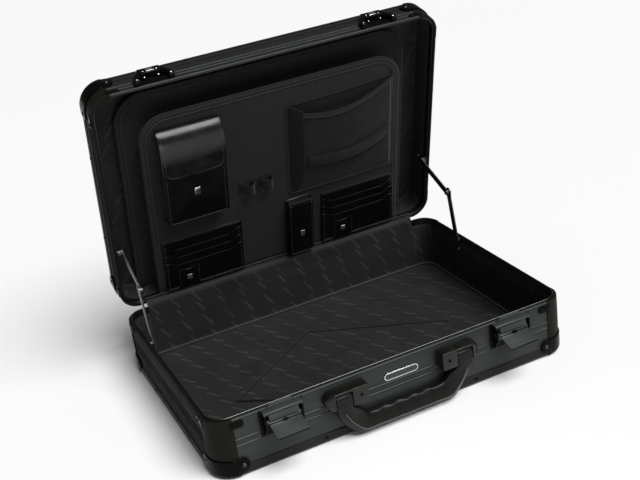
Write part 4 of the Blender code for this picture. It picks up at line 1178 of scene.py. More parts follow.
def cloth_rise(point):
    """How far the lining's flat cloth stands off its board."""
    return 0.00035 * (1 + wander(point, 24.0, 9.0)) + 0.00016 * wander(point, 90.0, 2.0)


def evenly(points, count):
    """Points spread evenly along a closed line."""
    total = lengths(points, True)
    found, index = [], 0
    for k in range(count):
        goal = total[-1] * k / count
        while total[index + 1] < goal:
            index += 1
        share = (goal - total[index]) / (total[index + 1] - total[index])
        found.append(points[index].lerp(points[(index + 1) % len(points)], share))
    return found


def flat_uv(co):
    return co.x, co.y


def filled(rows):
    """Closed rows inside each other, with the innermost one filled, and a UV map of X and Y."""
    shape = skin(rows, ring=True, uv=flat_uv)
    shape.verts.ensure_lookup_table()
    last = shape.faces.new(shape.verts[-len(rows[-1]):])
    layer = shape.loops.layers.uv.verify()
    for loop in last.loops:
        loop[layer].uv = flat_uv(loop.vert.co)
    return shape


def flat_cloth(name, top, flip, body, matrix):
    """The lining's flat cloth: loops inside each other, with the fold pressed into the floor's."""
    half_x, half_y, radius = HALF_X - CLOTH_BORDER, HALF_Y - CLOTH_BORDER, RADIUS - CLOTH_BORDER
    rows = []
    for step in range(CLOTH_LOOPS + 1):
        inset = (half_y - 0.0012) * step / CLOTH_LOOPS
        path = outline_path(half_x - inset, half_y - inset, max(radius - inset, 0.0004), 8)
        row = evenly([point for point, _ in path], CLOTH_POINTS)
        for spot in row:
            rise = cloth_rise(spot) if flip else cloth_rise(spot) - fold_drop(spot)
            rise *= min(1.0, inset / 0.010)
            spot.z = top + (-rise if flip else rise)
        rows.append(row)
    item = piece(filled(rows), name, PRINT, body, matrix, slot="lining_fabric", sharp=70)


FLAP_CORNERS = [
    Vector((x, y, 0))
    for x, y in ((-0.152, -0.022), (-0.014, 0.073), (0.148, -0.016), (0.120, -0.100), (-0.026, -0.106))
]
FLAP_ROUNDING = 0.004
FLAP_POINTS = 360
FLAP_LOOPS = 26
FLAP_LIFT = 0.0012
# The flap's rolled edge, as (distance in from the edge, height).
FLAP_EDGE = ((0.0, 0.0001), (-0.00015, 0.0007), (0.0003, 0.0013), (0.0012, 0.0015), (0.004, 0.0013))
# Dark cords along three of the flap's edges paint the shade there: their radius, how far out from the
# edge, and how far above the cloth.
FLAP_SHADE_LINE_RADIUS = 0.0018
FLAP_SHADE_LINE_OUT = 0.0013
FLAP_SHADE_LINE_LIFT = 0.0005


def flap_outline():
    """The flap's outline with its corners rounded."""
    edge = []
    before = FLAP_CORNERS[-1:] + FLAP_CORNERS
    after = FLAP_CORNERS[1:] + FLAP_CORNERS[:1]
    for last, corner, following in zip(before, FLAP_CORNERS, after):
        near = corner + (last - corner).normalized() * FLAP_ROUNDING
        far = corner + (following - corner).normalized() * FLAP_ROUNDING
        for k in range(5):
            share = k / 4
            edge.append(near.lerp(corner, share).lerp(corner.lerp(far, share), share))
    return evenly(edge, FLAP_POINTS)


def floor_flap(top):
    """The loose flap of lining that lies on the floor, pressed flat along its edges."""
    centre = sum(FLAP_CORNERS, Vector()) / len(FLAP_CORNERS)
    edge = flap_outline()
    loops = [(inset / 0.1, lift) for inset, lift in FLAP_EDGE]
    loops += [(0.05 + 0.94 * step / FLAP_LOOPS, FLAP_LIFT) for step in range(1, FLAP_LOOPS)]
    rows = [[point.lerp(centre, share) + Vector((0, 0, lift)) for point in edge] for share, lift in loops]
    for row in rows:
        for spot in row:
            spot.z += top + cloth_rise(Vector((spot.x, spot.y, 0)))
    item = piece(filled(rows), "base_floor_flap_cloth", PRINT, "base", slot="lining_fabric", sharp=80)
    # Dark cords just outside three of the flap's edges: painted shade where the flap's edge meets the
    # floor cloth.
    shade_lines = bmesh.new()
    starts = FLAP_CORNERS[:1] + FLAP_CORNERS[:2]
    ends = FLAP_CORNERS[-1:] + FLAP_CORNERS[1:3]
    for start, end in zip(starts, ends):
        run = [start.lerp(end, k / 30) for k in range(31)]
        lifted = [spot + Vector((0, 0, top + FLAP_SHADE_LINE_LIFT + cloth_rise(spot))) for spot in run]
        line = [spot + (spot - centre).normalized() * FLAP_SHADE_LINE_OUT for spot in lifted]
        tube(line, FLAP_SHADE_LINE_RADIUS, steps=8, shape=shade_lines)
    piece(shade_lines, "base_floor_flap_shade_line", GUSSET_CLOTH_AND_SHADE, "base", slot="lining_fabric")


def lining():
    wall = lining_walls("base_lining_walls", FLOOR_TOP, LIP_LOW - FIT, False, "base", WORLD)
    cloth_top = FLOOR_TOP + CLOTH_ABOVE
    flat_cloth("base_floor_cloth", cloth_top, False, "base", WORLD)
    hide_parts("base_lining")
    floor_flap(cloth_top)
    half_x, half_y = HALF_X - PIPING_INSET, HALF_Y - PIPING_INSET
    path = outline_path(half_x, half_y, RADIUS - PIPING_INSET, 12, 0.01)
    line = [point + Vector((0, 0, FLOOR_TOP + 0.0022)) for point, _ in path]
    piping = tube(line, PIPING_RADIUS, closed=True)
    piece(piping, "base_floor_piping", CORD, "base", slot="lining_fabric")

    low, high = span("lid_lining", LID)
    inner = high.z - LINING
    wall = lining_walls("lid_lining_walls", low.z, inner, True, "lid", LID)
    flat_cloth("lid_top_cloth", inner - CLOTH_ABOVE, True, "lid", LID)
    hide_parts("lid_lining")
    seam = bmesh.new()
    rear = HALF_Y - LINED - 0.0006
    for sign in (-1, 1):
        x = sign * (HALF_X - RADIUS - 0.004)
        line = [(x, rear, FLOOR_TOP + 0.006), (x + sign * 0.0006, rear, 0.035)]
        line.append((x, rear, LIP_LOW - 0.001))
        tube(line, SEAM_RADIUS, steps=8, shape=seam)
    piece(seam, "base_lining_rear_seams", CORD, "base", slot="lining_fabric")


HINGE_CLOTH_RADIUS = 0.0083
HINGE_CLOTH_HALF = 0.1990
HINGE_CLOTH_COLUMNS = 80
# Where the strip ends on the lid, as (y, height over the seam).
HINGE_CLOTH_END = ((0.1517, 0.0006), (0.1505, 0.0010), (0.1488, 0.0011))
FOOT_PIPING_RADIUS = 0.0009


def hinge_cloth():
    """The strip of lining that covers the hinge, from the base's rear wall to the organiser."""
    near = PIVOT.y - HINGE_CLOTH_RADIUS
    section = [(near + 0.0001, 0.0560), (near, 0.0620), (near, 0.0680)]
    section += arc((PIVOT.y, PIVOT.z), HINGE_CLOTH_RADIUS, 180, 180 - math.degrees(OPENING), 10)
    section += [(LID @ Vector((0, y, z))).yz for y, z in HINGE_CLOTH_END]
    rows = []
    for step in range(HINGE_CLOTH_COLUMNS + 1):
        x = HINGE_CLOTH_HALF * (2 * step / HINGE_CLOTH_COLUMNS - 1)
        row = [Vector((x, y, z)) for y, z in section]
        for spot in row[3:-2]:
            away = Vector((0, spot.y - PIVOT.y, spot.z - PIVOT.z)).normalized()
            spot += away * abs(0.00035 * wander(spot, 60.0, 5.0))
        rows.append(row)
    strip = piece(skin(rows), "hinge_cover_cloth", PRINT, None, slot="lining_fabric", sharp=70)
    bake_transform(strip)
    line = [Vector((x, 0.1486, 0.0004)) for x in (-HINGE_CLOTH_HALF, HINGE_CLOTH_HALF)]
    piping = tube([point for point, _ in resampled(line, 0.02)], FOOT_PIPING_RADIUS)
    piece(piping, "organiser_foot_piping", CORD, "lid", LID, slot="lining_fabric")


lining()
hinge_cloth()


# Organiser ---------------------------------------------------------------------------------

BACK_BOARD_FACE = 0.0280
FRONT_BOARD_BACK = 0.0052
FRONT_BOARD_FACE = 0.0011
# Each board: half width, foot, top, corner radius, and the depths of its face and its back.
BOARDS = {
    "front": (0.178, 0.008, 0.271, 0.036, 0.0015, 0.0053),
    "back": (0.198, 0.008, 0.292, 0.038, 0.0280, 0.0310),
}
BOARD_SIDE_STEPS = 20
BOARD_EDGE_STEPS = 24
TAPE = 0.0090


def on_lid(x, height, depth):
    """A point in the lid from its place across, its height above the hinge line and its depth."""
    return Vector((x, HALF_Y - height, depth))


def lid_piece(shape, name, look, slot, **settings):
    return piece(shape, name, look, "lid", LID, slot=slot, **settings)


def board_loop(size, inset, depth):
    """A board's outline, drawn in by an inset: square below and rounded above."""
    half, foot, top, radius = size
    half, foot, top, radius = half - inset, foot + inset, top - inset, max(radius - inset, 0.001)
    rise, run, level = top - radius - foot, half - radius, BOARD_EDGE_STEPS
    points = [(half, foot + rise * k / BOARD_SIDE_STEPS) for k in range(BOARD_SIDE_STEPS + 1)]
    points += arc((run, top - radius), radius, 0, 90, 14)[1:]
    points += [(run - 2 * run * k / level, top) for k in range(1, level)]
    points += arc((-run, top - radius), radius, 90, 180, 14)
    points += [(-half, top - radius - rise * k / BOARD_SIDE_STEPS) for k in range(1, BOARD_SIDE_STEPS + 1)]
    points += [(-half + 2 * half * k / level, foot) for k in range(1, level)]
    return [on_lid(x, height, depth) for x, height in points]


def board(place):
    """A stiff board in cloth, with tape bound over its edge and two rows of stitches."""
    size, (face, back) = BOARDS[place][:4], BOARDS[place][4:]
    name, middle, foot_points = f"organiser_{place}", (face + back) / 2, BOARD_EDGE_STEPS - 1
    loops = [(TAPE, back - 0.0001), (0.0016, back - 0.0002), (0.0, middle)]
    loops += [(0.0016, face + 0.0002), (TAPE - 0.001, face + 0.0001), (TAPE + 0.001, face + 0.0002)]
    sunk = ((0.018, 0.0), (0.035, 0.0003), (0.060, 0.0005), (0.085, 0.0006), (0.110, 0.0006))
    loops += [(inset, face - drop) for inset, drop in sunk]
    rows = [board_loop(size, inset, depth) for inset, depth in loops]
    for row in rows[5:]:
        for point in row:
            point.z += 0.00025 * wander(point, 16.0, 4.0)
    cloth = skin(rows, ring=True, capped=True)
    lid_piece(cloth, f"{name}_cloth", BOARD, "board_fabric", stands_for=(f"{name}_board",), sharp=60)
    loops = [(TAPE, face + 0.0003), (TAPE - 0.0002, face - 0.0003), (0.0015, face - 0.0004)]
    loops += [(0.0, face + 0.0003), (-0.0004, middle), (0.0, back - 0.0003)]
    loops += [(0.0015, back + 0.0003), (TAPE - 0.0002, back + 0.0002), (TAPE, back - 0.0002)]
    rows = [board_loop(size, inset, depth)[:-foot_points] for inset, depth in loops]
    binding = skin([list(column) for column in zip(*rows)])
    lid_piece(binding, f"{name}_binding", BINDING, "board_fabric", sharp=70)
    lines = [board_loop(size, inset, face - 0.0004)[:-foot_points] for inset in (0.0022, 0.0074)]
    stitches(f"{name}_binding_stitches", lines, "board_fabric")


GUSSET_X = 0.1755
GUSSET_FOOT, GUSSET_TOP = 0.0085, 0.2125
GUSSET_RUN = BACK_BOARD_FACE - FRONT_BOARD_BACK
PLEATS = 3
PLEAT_STEPS = 8 * PLEATS
PLEAT_DEPTH = 0.0024


def fold_gusset(side, sign):
    """The cloth fan between the two boards, folded in pleats."""
    node = f"organiser_gusset_{side}"
    rows = []
    for step in range(41):
        height = GUSSET_FOOT + (GUSSET_TOP - GUSSET_FOOT) * step / 40
        row = []
        for k in range(PLEAT_STEPS + 1):
            share = k / PLEAT_STEPS
            wave = math.cos(2 * math.pi * PLEATS * share) * (PLEAT_DEPTH - 0.0006 * share)
            x = sign * (GUSSET_X + wave + 0.0004 * wander(Vector((share, height, 0)), 30.0))
            row.append(on_lid(x, height, FRONT_BOARD_BACK + GUSSET_RUN * share))
        rows.append(row)
    item = lid_piece(skin(rows), f"{node}_cloth", GUSSET_CLOTH_AND_SHADE, "board_fabric", stands_for=(node,), sharp=80)
    item.modifiers.new("cloth", "SOLIDIFY").thickness = 0.0004
    line = []
    for k in range(PLEAT_STEPS + 1):
        share = k / PLEAT_STEPS
        x = sign * (GUSSET_X + PLEAT_DEPTH * math.cos(2 * math.pi * PLEATS * share))
        line.append(on_lid(x, GUSSET_TOP + 0.0001, FRONT_BOARD_BACK + GUSSET_RUN * share))
    lid_piece(tube(line, 0.0007, steps=8), f"{node}_bound_edge", BINDING, "board_fabric")


def pouch_ring(half, pinch, back, front, crown):
    """(across, depth) points round a pouch: a flat back, sides pinched in and a crowned front."""
    side = [(-half + 0.001, back), (-half, back - 0.0012)]
    for k in range(1, 10):
        share = k / 10
        inward = pinch * math.sin(math.pi * share) ** 1.4
        side.append((-half + inward, back - 0.0012 + (front + 0.0022 - back) * share))
    side += [(-half - 0.0003, front + 0.0008), (-half + 0.0002, front + 0.0001)]
    across = [-1 + 2 * k / 18 for k in range(1, 18)]
    face = [(half * share, front - crown * (1 - share * share)) for share in across]
    return side + face + [(-x, w) for x, w in reversed(side)]


def pouch(node, centre, stations):
    """A leather pouch lofted from its foot to its mouth.

    Each station is (height, half width, pinch of the sides, front depth, crown).
    """
    rows = []
    for height, half, pinch, front, crown in stations:
        ring = pouch_ring(half, pinch, FRONT_BOARD_FACE, front, crown)
        rows.append([on_lid(centre + x, height, w) for x, w in ring])
    shape = skin(rows, ring=True, capped=True)
    lid_piece(shape, f"{node}_leather", CARD_LEATHER, "black_leather", stands_for=(node,), sharp=50)


def leather_stitches(name, lines, body="lid"):
    stitches(name, lines, "black_leather", 0.0034, 0.0020, body)


def plate(name, x, height, depth, half_x, half_v):
    """A small blank metal plate on the leather."""
    corner = 0.0010
    outline = []
    for sx, sv, first in QUARTERS:
        centre = (x + sx * (half_x - corner), height + sv * (half_v - corner))
        outline += [(a, HALF_Y - b) for a, b in arc(centre, corner, first, first + 90, 4)]
    shape = prism(outline, depth + 0.0004, depth - 0.0005, flat_place)
    lid_piece(shape, name, CHROME, "badge_metal", edge=0.0002)


PHONE_X = -0.1185
PHONE_STATIONS = (
    (0.1200, 0.0380, 0.0002, -0.0020, 0.0), (0.1206, 0.0396, 0.0006, -0.0080, 0.0002),
    (0.1225, 0.0402, 0.0014, -0.0135, 0.0004), (0.1270, 0.0405, 0.0026, -0.0160, 0.0006),
    (0.1330, 0.0405, 0.0034, -0.0168, 0.0008), (0.145, 0.0405, 0.0036, -0.0172, 0.0010),
    (0.165, 0.0405, 0.0036, -0.0172, 0.0010), (0.185, 0.0405, 0.0036, -0.0172, 0.0010),
    (0.200, 0.0405, 0.0036, -0.0172, 0.0010), (0.2150, 0.0405, 0.0034, -0.0168, 0.0008),
    (0.2300, 0.0404, 0.0028, -0.0155, 0.0006), (0.2400, 0.0403, 0.0020, -0.0125, 0.0004),
    (0.2470, 0.0400, 0.0012, -0.0085, 0.0003), (0.2505, 0.0396, 0.0004, -0.0048, 0.0001),
)
PHONE_STITCH_X = 0.0376
PHONE_BEAD_X = 0.0404
BEAD_RADIUS = 0.0008
# (height, depth) points down the pouch's front edge, and heights down its back edge.
PHONE_BEAD = (
    (0.2440, -0.0098), (0.2350, -0.0140), (0.2250, -0.0158), (0.205, -0.0171), (0.17, -0.0171),
    (0.135, -0.0171), (0.1275, -0.0171), (0.1232, -0.0150), (0.1212, -0.0110),
)
PHONE_BACK_BEAD = (0.2470, 0.21, 0.17, 0.135, 0.1225)


def phone_pouch():
    pouch("phone_pouch", PHONE_X, PHONE_STATIONS)
    line = []
    left = [(-1, 0.200), (-1, 0.1275), (-0.93, 0.1250)]
    for share, height in left + [(-across, height) for across, height in reversed(left)]:
        x = PHONE_STITCH_X * share
        line.append(on_lid(PHONE_X + x, height, -0.0175 - 0.0010 * (1 - (x / 0.0405) ** 2)))
    leather_stitches("phone_pouch_stitches", [line])
    bead = bmesh.new()
    for sign in (-1, 1):
        x = PHONE_X + sign * PHONE_BEAD_X
        tube([on_lid(x, v, w) for v, w in PHONE_BEAD], BEAD_RADIUS, steps=8, shape=bead)
        tube([on_lid(x, v, 0.0) for v in PHONE_BACK_BEAD], BEAD_RADIUS, steps=8, shape=bead)
    line = []
    for k in range(-8, 9):
        share = k / 8
        depth = -0.0133 - 0.0003 * (1 - share ** 2)
        line.append(on_lid(PHONE_X + PHONE_BEAD_X * share, 0.1222, depth))
    tube(line, BEAD_RADIUS, steps=8, shape=bead)
    lid_piece(bead, "phone_pouch_edge_beads", CARD_LEATHER, "black_leather")
    plate("phone_pouch_plate", -0.1180, 0.1650, -0.0181, 0.0038, 0.0052)


FLAP_HALF = 0.0415
FLAP_CORNER = 0.0140
FLAP_THICK = 0.0016
FLAP_FOOT = 0.1895
FLAP_STITCH_INSET = 0.0038
# (height, depth) points of the flap's outer face over the pouch's top.
FLAP_ROLL = (
    (0.2531, -0.0004), (0.2534, -0.0022), (0.2531, -0.0046), (0.2519, -0.0073), (0.2496, -0.0102),
    (0.2465, -0.0130), (0.2425, -0.0153), (0.2378, -0.0172), (0.2325, -0.0186), (0.2265, -0.0195),
    (0.2200, -0.0201), (0.2130, -0.0205),
)


def flap_line():
    """(height, depth) points over the pouch's top and down its front, outer face."""
    near, depth = FLAP_ROLL[-1]
    down = [(near - (near - FLAP_FOOT) * k / 16, depth + 0.0003 * k / 16) for k in range(1, 17)]
    return list(FLAP_ROLL) + down


def flap_border(line):
    """The stitched line round the flap's three free edges."""
    heights = (0.2485, 0.2440, 0.2390, 0.2320, 0.2250, 0.2150, FLAP_FOOT + FLAP_CORNER)
    path = [(-FLAP_HALF + FLAP_STITCH_INSET, height) for height in heights]
    centre = (-FLAP_HALF + FLAP_CORNER, FLAP_FOOT + FLAP_CORNER)
    path += arc(centre, FLAP_CORNER - FLAP_STITCH_INSET, 195, 270, 5)
    path += [(-x, height) for x, height in reversed(path)]
    border = []
    for x, height in path:
        after = next(i for i, point in enumerate(line) if i > 2 and point[0] <= height + 1e-9)
        (high, deep), (low, start) = line[after - 1], line[after]
        depth = start + (deep - start) * (height - low) / max(high - low, 1e-9)
        depth -= 0.0006 * (1 - (x / FLAP_HALF) ** 2) + 0.0001
        border.append(on_lid(PHONE_X + x, height, depth))
    return border


def phone_flap():
    """The flap: leather that rolls over the top edge, with rounded lower corners."""
    line = flap_line()
    rows = []
    for index, (height, depth) in enumerate(line):
        low = max(0.0, FLAP_CORNER - (height - FLAP_FOOT)) if index >= len(FLAP_ROLL) - 1 else 0.0
        reach = FLAP_HALF - FLAP_CORNER + math.sqrt(max(FLAP_CORNER ** 2 - low ** 2, 0.0))
        before, after = line[max(index - 1, 0)], line[min(index + 1, len(line) - 1)]
        way = Vector((after[0] - before[0], after[1] - before[1])).normalized()
        inward = Vector((-1.0, 0.0)) if index < 2 else Vector((way.y, -way.x))
        if inward.y < 0:
            inward = -inward
        inner = Vector((height, depth)) + inward * FLAP_THICK
        outer_row, inner_row = [], []
        for k in range(-12, 13):
            share = k / 12
            x = PHONE_X + reach * share
            crown = 0.0006 * (1 - share * share) * min(1.0, -depth / 0.02)
            drop = 0.0004 * max(0.0, abs(share) - 0.85) / 0.15
            outer_row.append(on_lid(x, height, depth - crown + drop))
            inner_row.append(on_lid(x, inner.x, inner.y - crown * 0.5))
        rows.append(outer_row + list(reversed(inner_row)))
    shape = skin(rows, ring=True, capped=True)
    piece(shape, "phone_flap_leather", SMOOTH_LEATHER, "phone_flap", LID, ("phone_pouch_flap",),
          "black_leather", edge=0.0004, sharp=50)
    leather_stitches("phone_flap_stitches", [flap_border(line)], "phone_flap")


CARD_FOOT = 0.0100
CARD_SLOTS = 3
SLOT_FIRST = 0.0105
SLOT_PITCH = 0.0115
SLOT_DIP = 0.0062
LEAF = 0.0010
LEAF_STEPS = 40
CARD_STITCH_INSET = 0.0028
# Where the stitches show beside each slot, as heights below the holder's top.
CARD_STITCH_GAPS = ((0.0340, 0.0260), (0.0225, 0.0145), (0.0090, 0.0030))
THUMB_LEFT, THUMB_RIGHT = 0.0160, 0.0460


def dipped(share, top):
    """The top edge of a card slot: level at both ends, with a long dip between them."""
    ease = min(1.0, max(0.0, (1 - abs(share)) / 0.30 - 0.15))
    return top - SLOT_DIP * (3 * ease ** 2 - 2 * ease ** 3)


def thumb_edge(share):
    """The top edge of the thumb pocket."""
    return CARD_FOOT + 0.0330 - 0.0045 * (1 - share * share) + 0.0030 * max(0.0, share) ** 2


def leaf(near, far, left, right, edge, shape):
    """A leather leaf between two depths, from the foot up to its own upper edge."""
    rows = []
    for k in range(LEAF_STEPS + 1):
        share = -1 + 2 * k / LEAF_STEPS
        x = left + (right - left) * k / LEAF_STEPS
        upper = edge(share)
        swell = 0.0003 * (1 - share * share)
        heights = [CARD_FOOT + 0.0006, CARD_FOOT + 0.010, (CARD_FOOT + upper) / 2, upper - 0.0012]
        swells = [0.0, swell, swell, 0.0]
        ring = [on_lid(x, height, near) for height in heights] + [on_lid(x, upper - 0.0002, near)]
        ring += [on_lid(x, upper, (near + far) / 2), on_lid(x, upper - 0.0004, far - 0.0001)]
        ring += [on_lid(x, v, far - out) for v, out in reversed(list(zip(heights, swells)))]
        rows.append(ring)
    skin(rows, ring=True, capped=True, shape=shape)


def card_stitches(node, left, right, top, depth):
    """Stitches round a card holder, beside its slots, and down the thumb pocket's sides."""
    sides = (left + CARD_STITCH_INSET, right - CARD_STITCH_INSET)
    face, foot = depth - 0.0002, CARD_FOOT + 0.0030
    low = CARD_FOOT + CARD_STITCH_INSET
    lines = [[on_lid(x, v, face) for v in (foot, top - 0.0380)] for x in sides]
    lines.append([on_lid(x, low, face) for x in sides])
    thumb = (left + THUMB_LEFT + 0.0016, left + THUMB_RIGHT - 0.0016)
    lines += [[on_lid(x, v, face - LEAF) for v in (foot, CARD_FOOT + 0.0300)] for x in thumb]
    for x in sides:
        for step, gap in enumerate(CARD_STITCH_GAPS):
            lines.append([on_lid(x, top - down, face + LEAF * (step + 1)) for down in gap])
    lines.append([on_lid(x, top - CARD_STITCH_INSET, face + CARD_SLOTS * LEAF) for x in sides])
    leather_stitches(f"{node}_stitches", lines)


def card_pocket(side, left, right, top):
    """A card holder: a leather back with three stepped slots and a small thumb pocket."""
    centre, half = (left + right) / 2, (right - left) / 2
    node, depth = f"card_pocket_{side}", 0.0002
    shape, beads = bmesh.new(), bmesh.new()
    leaf(FRONT_BOARD_FACE, depth, left, right, lambda share: top - 0.0005, shape)
    for step in range(CARD_SLOTS):
        upper = top - SLOT_FIRST - SLOT_PITCH * step
        leaf(depth + 0.0001, depth - LEAF, left + 0.0004, right - 0.0004,
             lambda share, upper=upper: dipped(share, upper), shape)
        depth -= LEAF
        border = []
        for k in range(2, LEAF_STEPS - 1):
            share = -1 + 2 * k / LEAF_STEPS
            height = dipped(share, upper) - 0.0002
            border.append(on_lid(centre + half * 0.985 * share, height, depth))
        tube(border, 0.00045, steps=6, shape=beads)
    lid_piece(shape, f"{node}_leaves", CARD_LEATHER, "black_leather", stands_for=(node,),
              edge=0.0002, sharp=50)
    thumb = bmesh.new()
    leaf(depth + 0.0001, depth - LEAF, left + THUMB_LEFT, left + THUMB_RIGHT, thumb_edge, thumb)
    lid_piece(thumb, f"{node}_thumb_pocket", CARD_LEATHER, "black_leather", edge=0.0002, sharp=50)
    card_stitches(node, left, right, top, depth)
    low, high, near, far = CARD_FOOT + 0.0008, top - 0.001, left + 0.0005, right - 0.0005
    rim = [on_lid(x, v, depth + 0.0002) for x, v in ((near, high), (near, low), (far, low), (far, high))]
    for start, end in zip(rim, rim[1:]):
        tube([start, end], 0.0007, steps=8, shape=beads)
    lid_piece(beads, f"{node}_edge_beads", SMOOTH_LEATHER, "black_leather")
    plate(f"{node}_plate", left + 0.0310, CARD_FOOT + 0.0155, depth - 0.0012, 0.0036, 0.0036)


STICK_X = 0.0250
STICK_FRONT = -0.01125
STICK_STITCH_X = 0.0155
STICK_STATIONS = (
    (0.0082, 0.0165, 0.0, -0.0012, 0.0), (0.0088, 0.0176, 0.0004, -0.0050, 0.0),
    (0.0105, 0.0178, 0.0010, -0.0085, 0.0002), (0.0140, 0.0179, 0.0018, -0.0104, 0.0003),
    (0.025, 0.0179, 0.0022, -0.0110, 0.0005), (0.045, 0.0179, 0.0022, -0.0110, 0.0005),
    (0.065, 0.0179, 0.0022, -0.0110, 0.0005), (0.085, 0.0179, 0.0022, -0.0110, 0.0005),
    (0.0945, 0.0179, 0.0022, -0.0110, 0.0005),
)


def stick_pouch():
    """The narrow pouch for a memory stick, open at its top."""
    pouch("stick_pouch", STICK_X, STICK_STATIONS)
    near, far = STICK_X - STICK_STITCH_X, STICK_X + STICK_STITCH_X
    spots = ((near, 0.0930), (near, 0.0125), (far, 0.0125), (far, 0.0930))
    line = [on_lid(x, height, STICK_FRONT) for x, height in spots]
    hem = [on_lid(x, 0.0915, STICK_FRONT - 0.0001) for x in (near, far)]
    leather_stitches("stick_pouch_stitches", [line, hem])
    ring = pouch_ring(0.0179, 0.0022, 0.0006, -0.0108, 0.0004)
    mouth = tube([on_lid(STICK_X + x, 0.0950, w) for x, w in ring], 0.0007, closed=True, steps=8)
    lid_piece(mouth, "stick_pouch_mouth_bead", SMOOTH_LEATHER, "black_leather")
    hollow = bmesh.new()
    ring = pouch_ring(0.0166, 0.0022, -0.0008, -0.0094, 0.0004)
    hollow.faces.new([hollow.verts.new(on_lid(STICK_X + x, 0.09455, w)) for x, w in ring])
    lid_piece(hollow, "stick_pouch_shadow", GUSSET_CLOTH_AND_SHADE, "board_fabric")
    plate("stick_pouch_plate", STICK_X + 0.001, 0.0440, -0.0114, 0.0030, 0.0045)


POCKET_FOOT = 0.1060
POCKET_TOP = 0.2300
POCKET_LEFT, POCKET_RIGHT = 0.0240, 0.1640
POCKET_SAG = 0.0120
POCKET_BELLY = 0.0130
POCKET_COLUMNS, POCKET_ROWS = 56, 48
POCKET_CLOTH = 0.0006
# (side, where it is sewn, the front panel's end, foot, top, which way it bulges)
POCKET_SIDES = (
    ("left", 0.0150, 0.0, 0.1060, 0.2360, -1),
    ("right", 0.1650, 1.0, 0.1080, 0.2450, 1),
)
HEM_SECTION = (
    (0.0065, -0.0004), (0.0060, -0.0008), (0.0008, -0.0008), (-0.0004, -0.0002), (0.0008, 0.0008),
    (0.0060, 0.0008),
)
SIDE_TAPE = ((-0.0030, 0.0012), (-0.0028, 0.0003), (0.0, -0.0001), (0.0028, 0.0003), (0.0030, 0.0012))
FOOT_TAPE = (
    (0.1030, 0.0012), (0.1033, 0.0002), (0.1065, -0.0010), (0.1095, -0.0014), (0.1100, -0.0006),
)


def pocket_front(u, v):
    """The cable pocket's front panel: u runs across and v up. Its hem sags and it bellies out."""
    left = POCKET_LEFT + 0.0080 * min(1.0, 3 * v)
    x = left + (POCKET_RIGHT - left) * u
    sag = POCKET_SAG * math.sin(math.pi * u) ** 0.8 * (1 - 0.35 * u)
    height = POCKET_FOOT + (POCKET_TOP - sag - POCKET_FOOT + 0.0110 * u * u) * v
    belly = math.cos(math.pi * max(0.0, u - 0.25) / 1.5) ** 0.9
    depth = -0.0010 - POCKET_BELLY * belly * (0.10 + 0.90 * min(1.0, v * 2.6) ** 0.7)
    spot = Vector((x, height, 0))
    ripple = 0.0007 * wander(spot, 34.0, 7.0) + 0.0004 * wander(spot, 90.0, 1.0)
    return x, height, depth + ripple * min(1.0, 6 * v) * min(1.0, 8 * u, 8 * (1 - u))


def pocket_piece(shape, name, look, sharp=38, stands_for=()):
    return lid_piece(shape, f"cable_pocket_{name}", look, "pocket_fabric", sharp=sharp,
                     stands_for=stands_for)


def pocket_hem():
    """The bound hem along the front panel's upper edge, with its stitches."""
    hem = []
    for i in range(POCKET_COLUMNS + 1):
        x, height, depth = pocket_front(i / POCKET_COLUMNS, 1.0)
        hem.append(on_lid(x, height, depth - 0.0002))
    rows = [[spot + Vector((0, dy, dz)) for dy, dz in HEM_SECTION] for spot in hem]
    pocket_piece(skin(rows, ring=True, capped=True), "hem", BINDING, 60)
    line = [spot + Vector((0, 0.0052, -0.0008)) for spot in hem]
    stitches("cable_pocket_hem_stitches", [line], "pocket_fabric")


def pocket_gusset(side, sewn, end, low, high, tilt):
    """One side of the pocket, from the board out to the front panel's edge."""
    rows = []
    for j in range(41):
        v = j / 40
        height = low + (high - low) * v
        edge = pocket_front(end, v)
        row = []
        for k in range(13):
            share = k / 12
            bulge = math.sin(math.pi * share)
            out = tilt * 0.0022 * bulge * (0.3 + 0.7 * v)
            out += 0.0004 * wander(Vector((share, height, 0)), 40.0)
            lift = 0.0030 * bulge * v ** 6 + (edge[1] - height) * share
            depth = 0.0009 + (edge[2] - 0.0009) * share
            row.append(on_lid(sewn + (edge[0] - sewn) * share + out, height + lift, depth))
        rows.append(row)
    panel = pocket_piece(skin(rows), f"{side}_gusset", NET, 80)
    panel.modifiers.new("cloth", "SOLIDIFY").thickness = POCKET_CLOTH
    pocket_piece(tube(rows[-1], 0.0008, steps=8), f"{side}_bound_top", BINDING)


def pocket_tapes():
    """The tapes that sew the pocket's sides and foot to the board, with their stitches."""
    tapes = bmesh.new()
    for x, low, high in ((0.0150, 0.1040, 0.2350), (0.1665, 0.1040, 0.2430)):
        heights = [low + (high - low) * k / 24 for k in range(25)]
        skin([[on_lid(x + a, v, w) for a, w in SIDE_TAPE] for v in heights], shape=tapes)
    across = [0.0140 + 0.1530 * k / 32 for k in range(33)]
    skin([[on_lid(x, v, w) for v, w in FOOT_TAPE] for x in across], shape=tapes)
    pocket_piece(tapes, "sewn_tapes", BINDING, 60)
    lines = [[on_lid(0.0150, v, -0.0001) for v in (0.106, 0.232)]]
    lines.append([on_lid(0.1665, v, -0.0001) for v in (0.106, 0.240)])
    lines.append([on_lid(x, 0.1075, -0.0013) for x in (0.024, 0.164)])
    stitches("cable_pocket_tape_stitches", lines, "pocket_fabric")


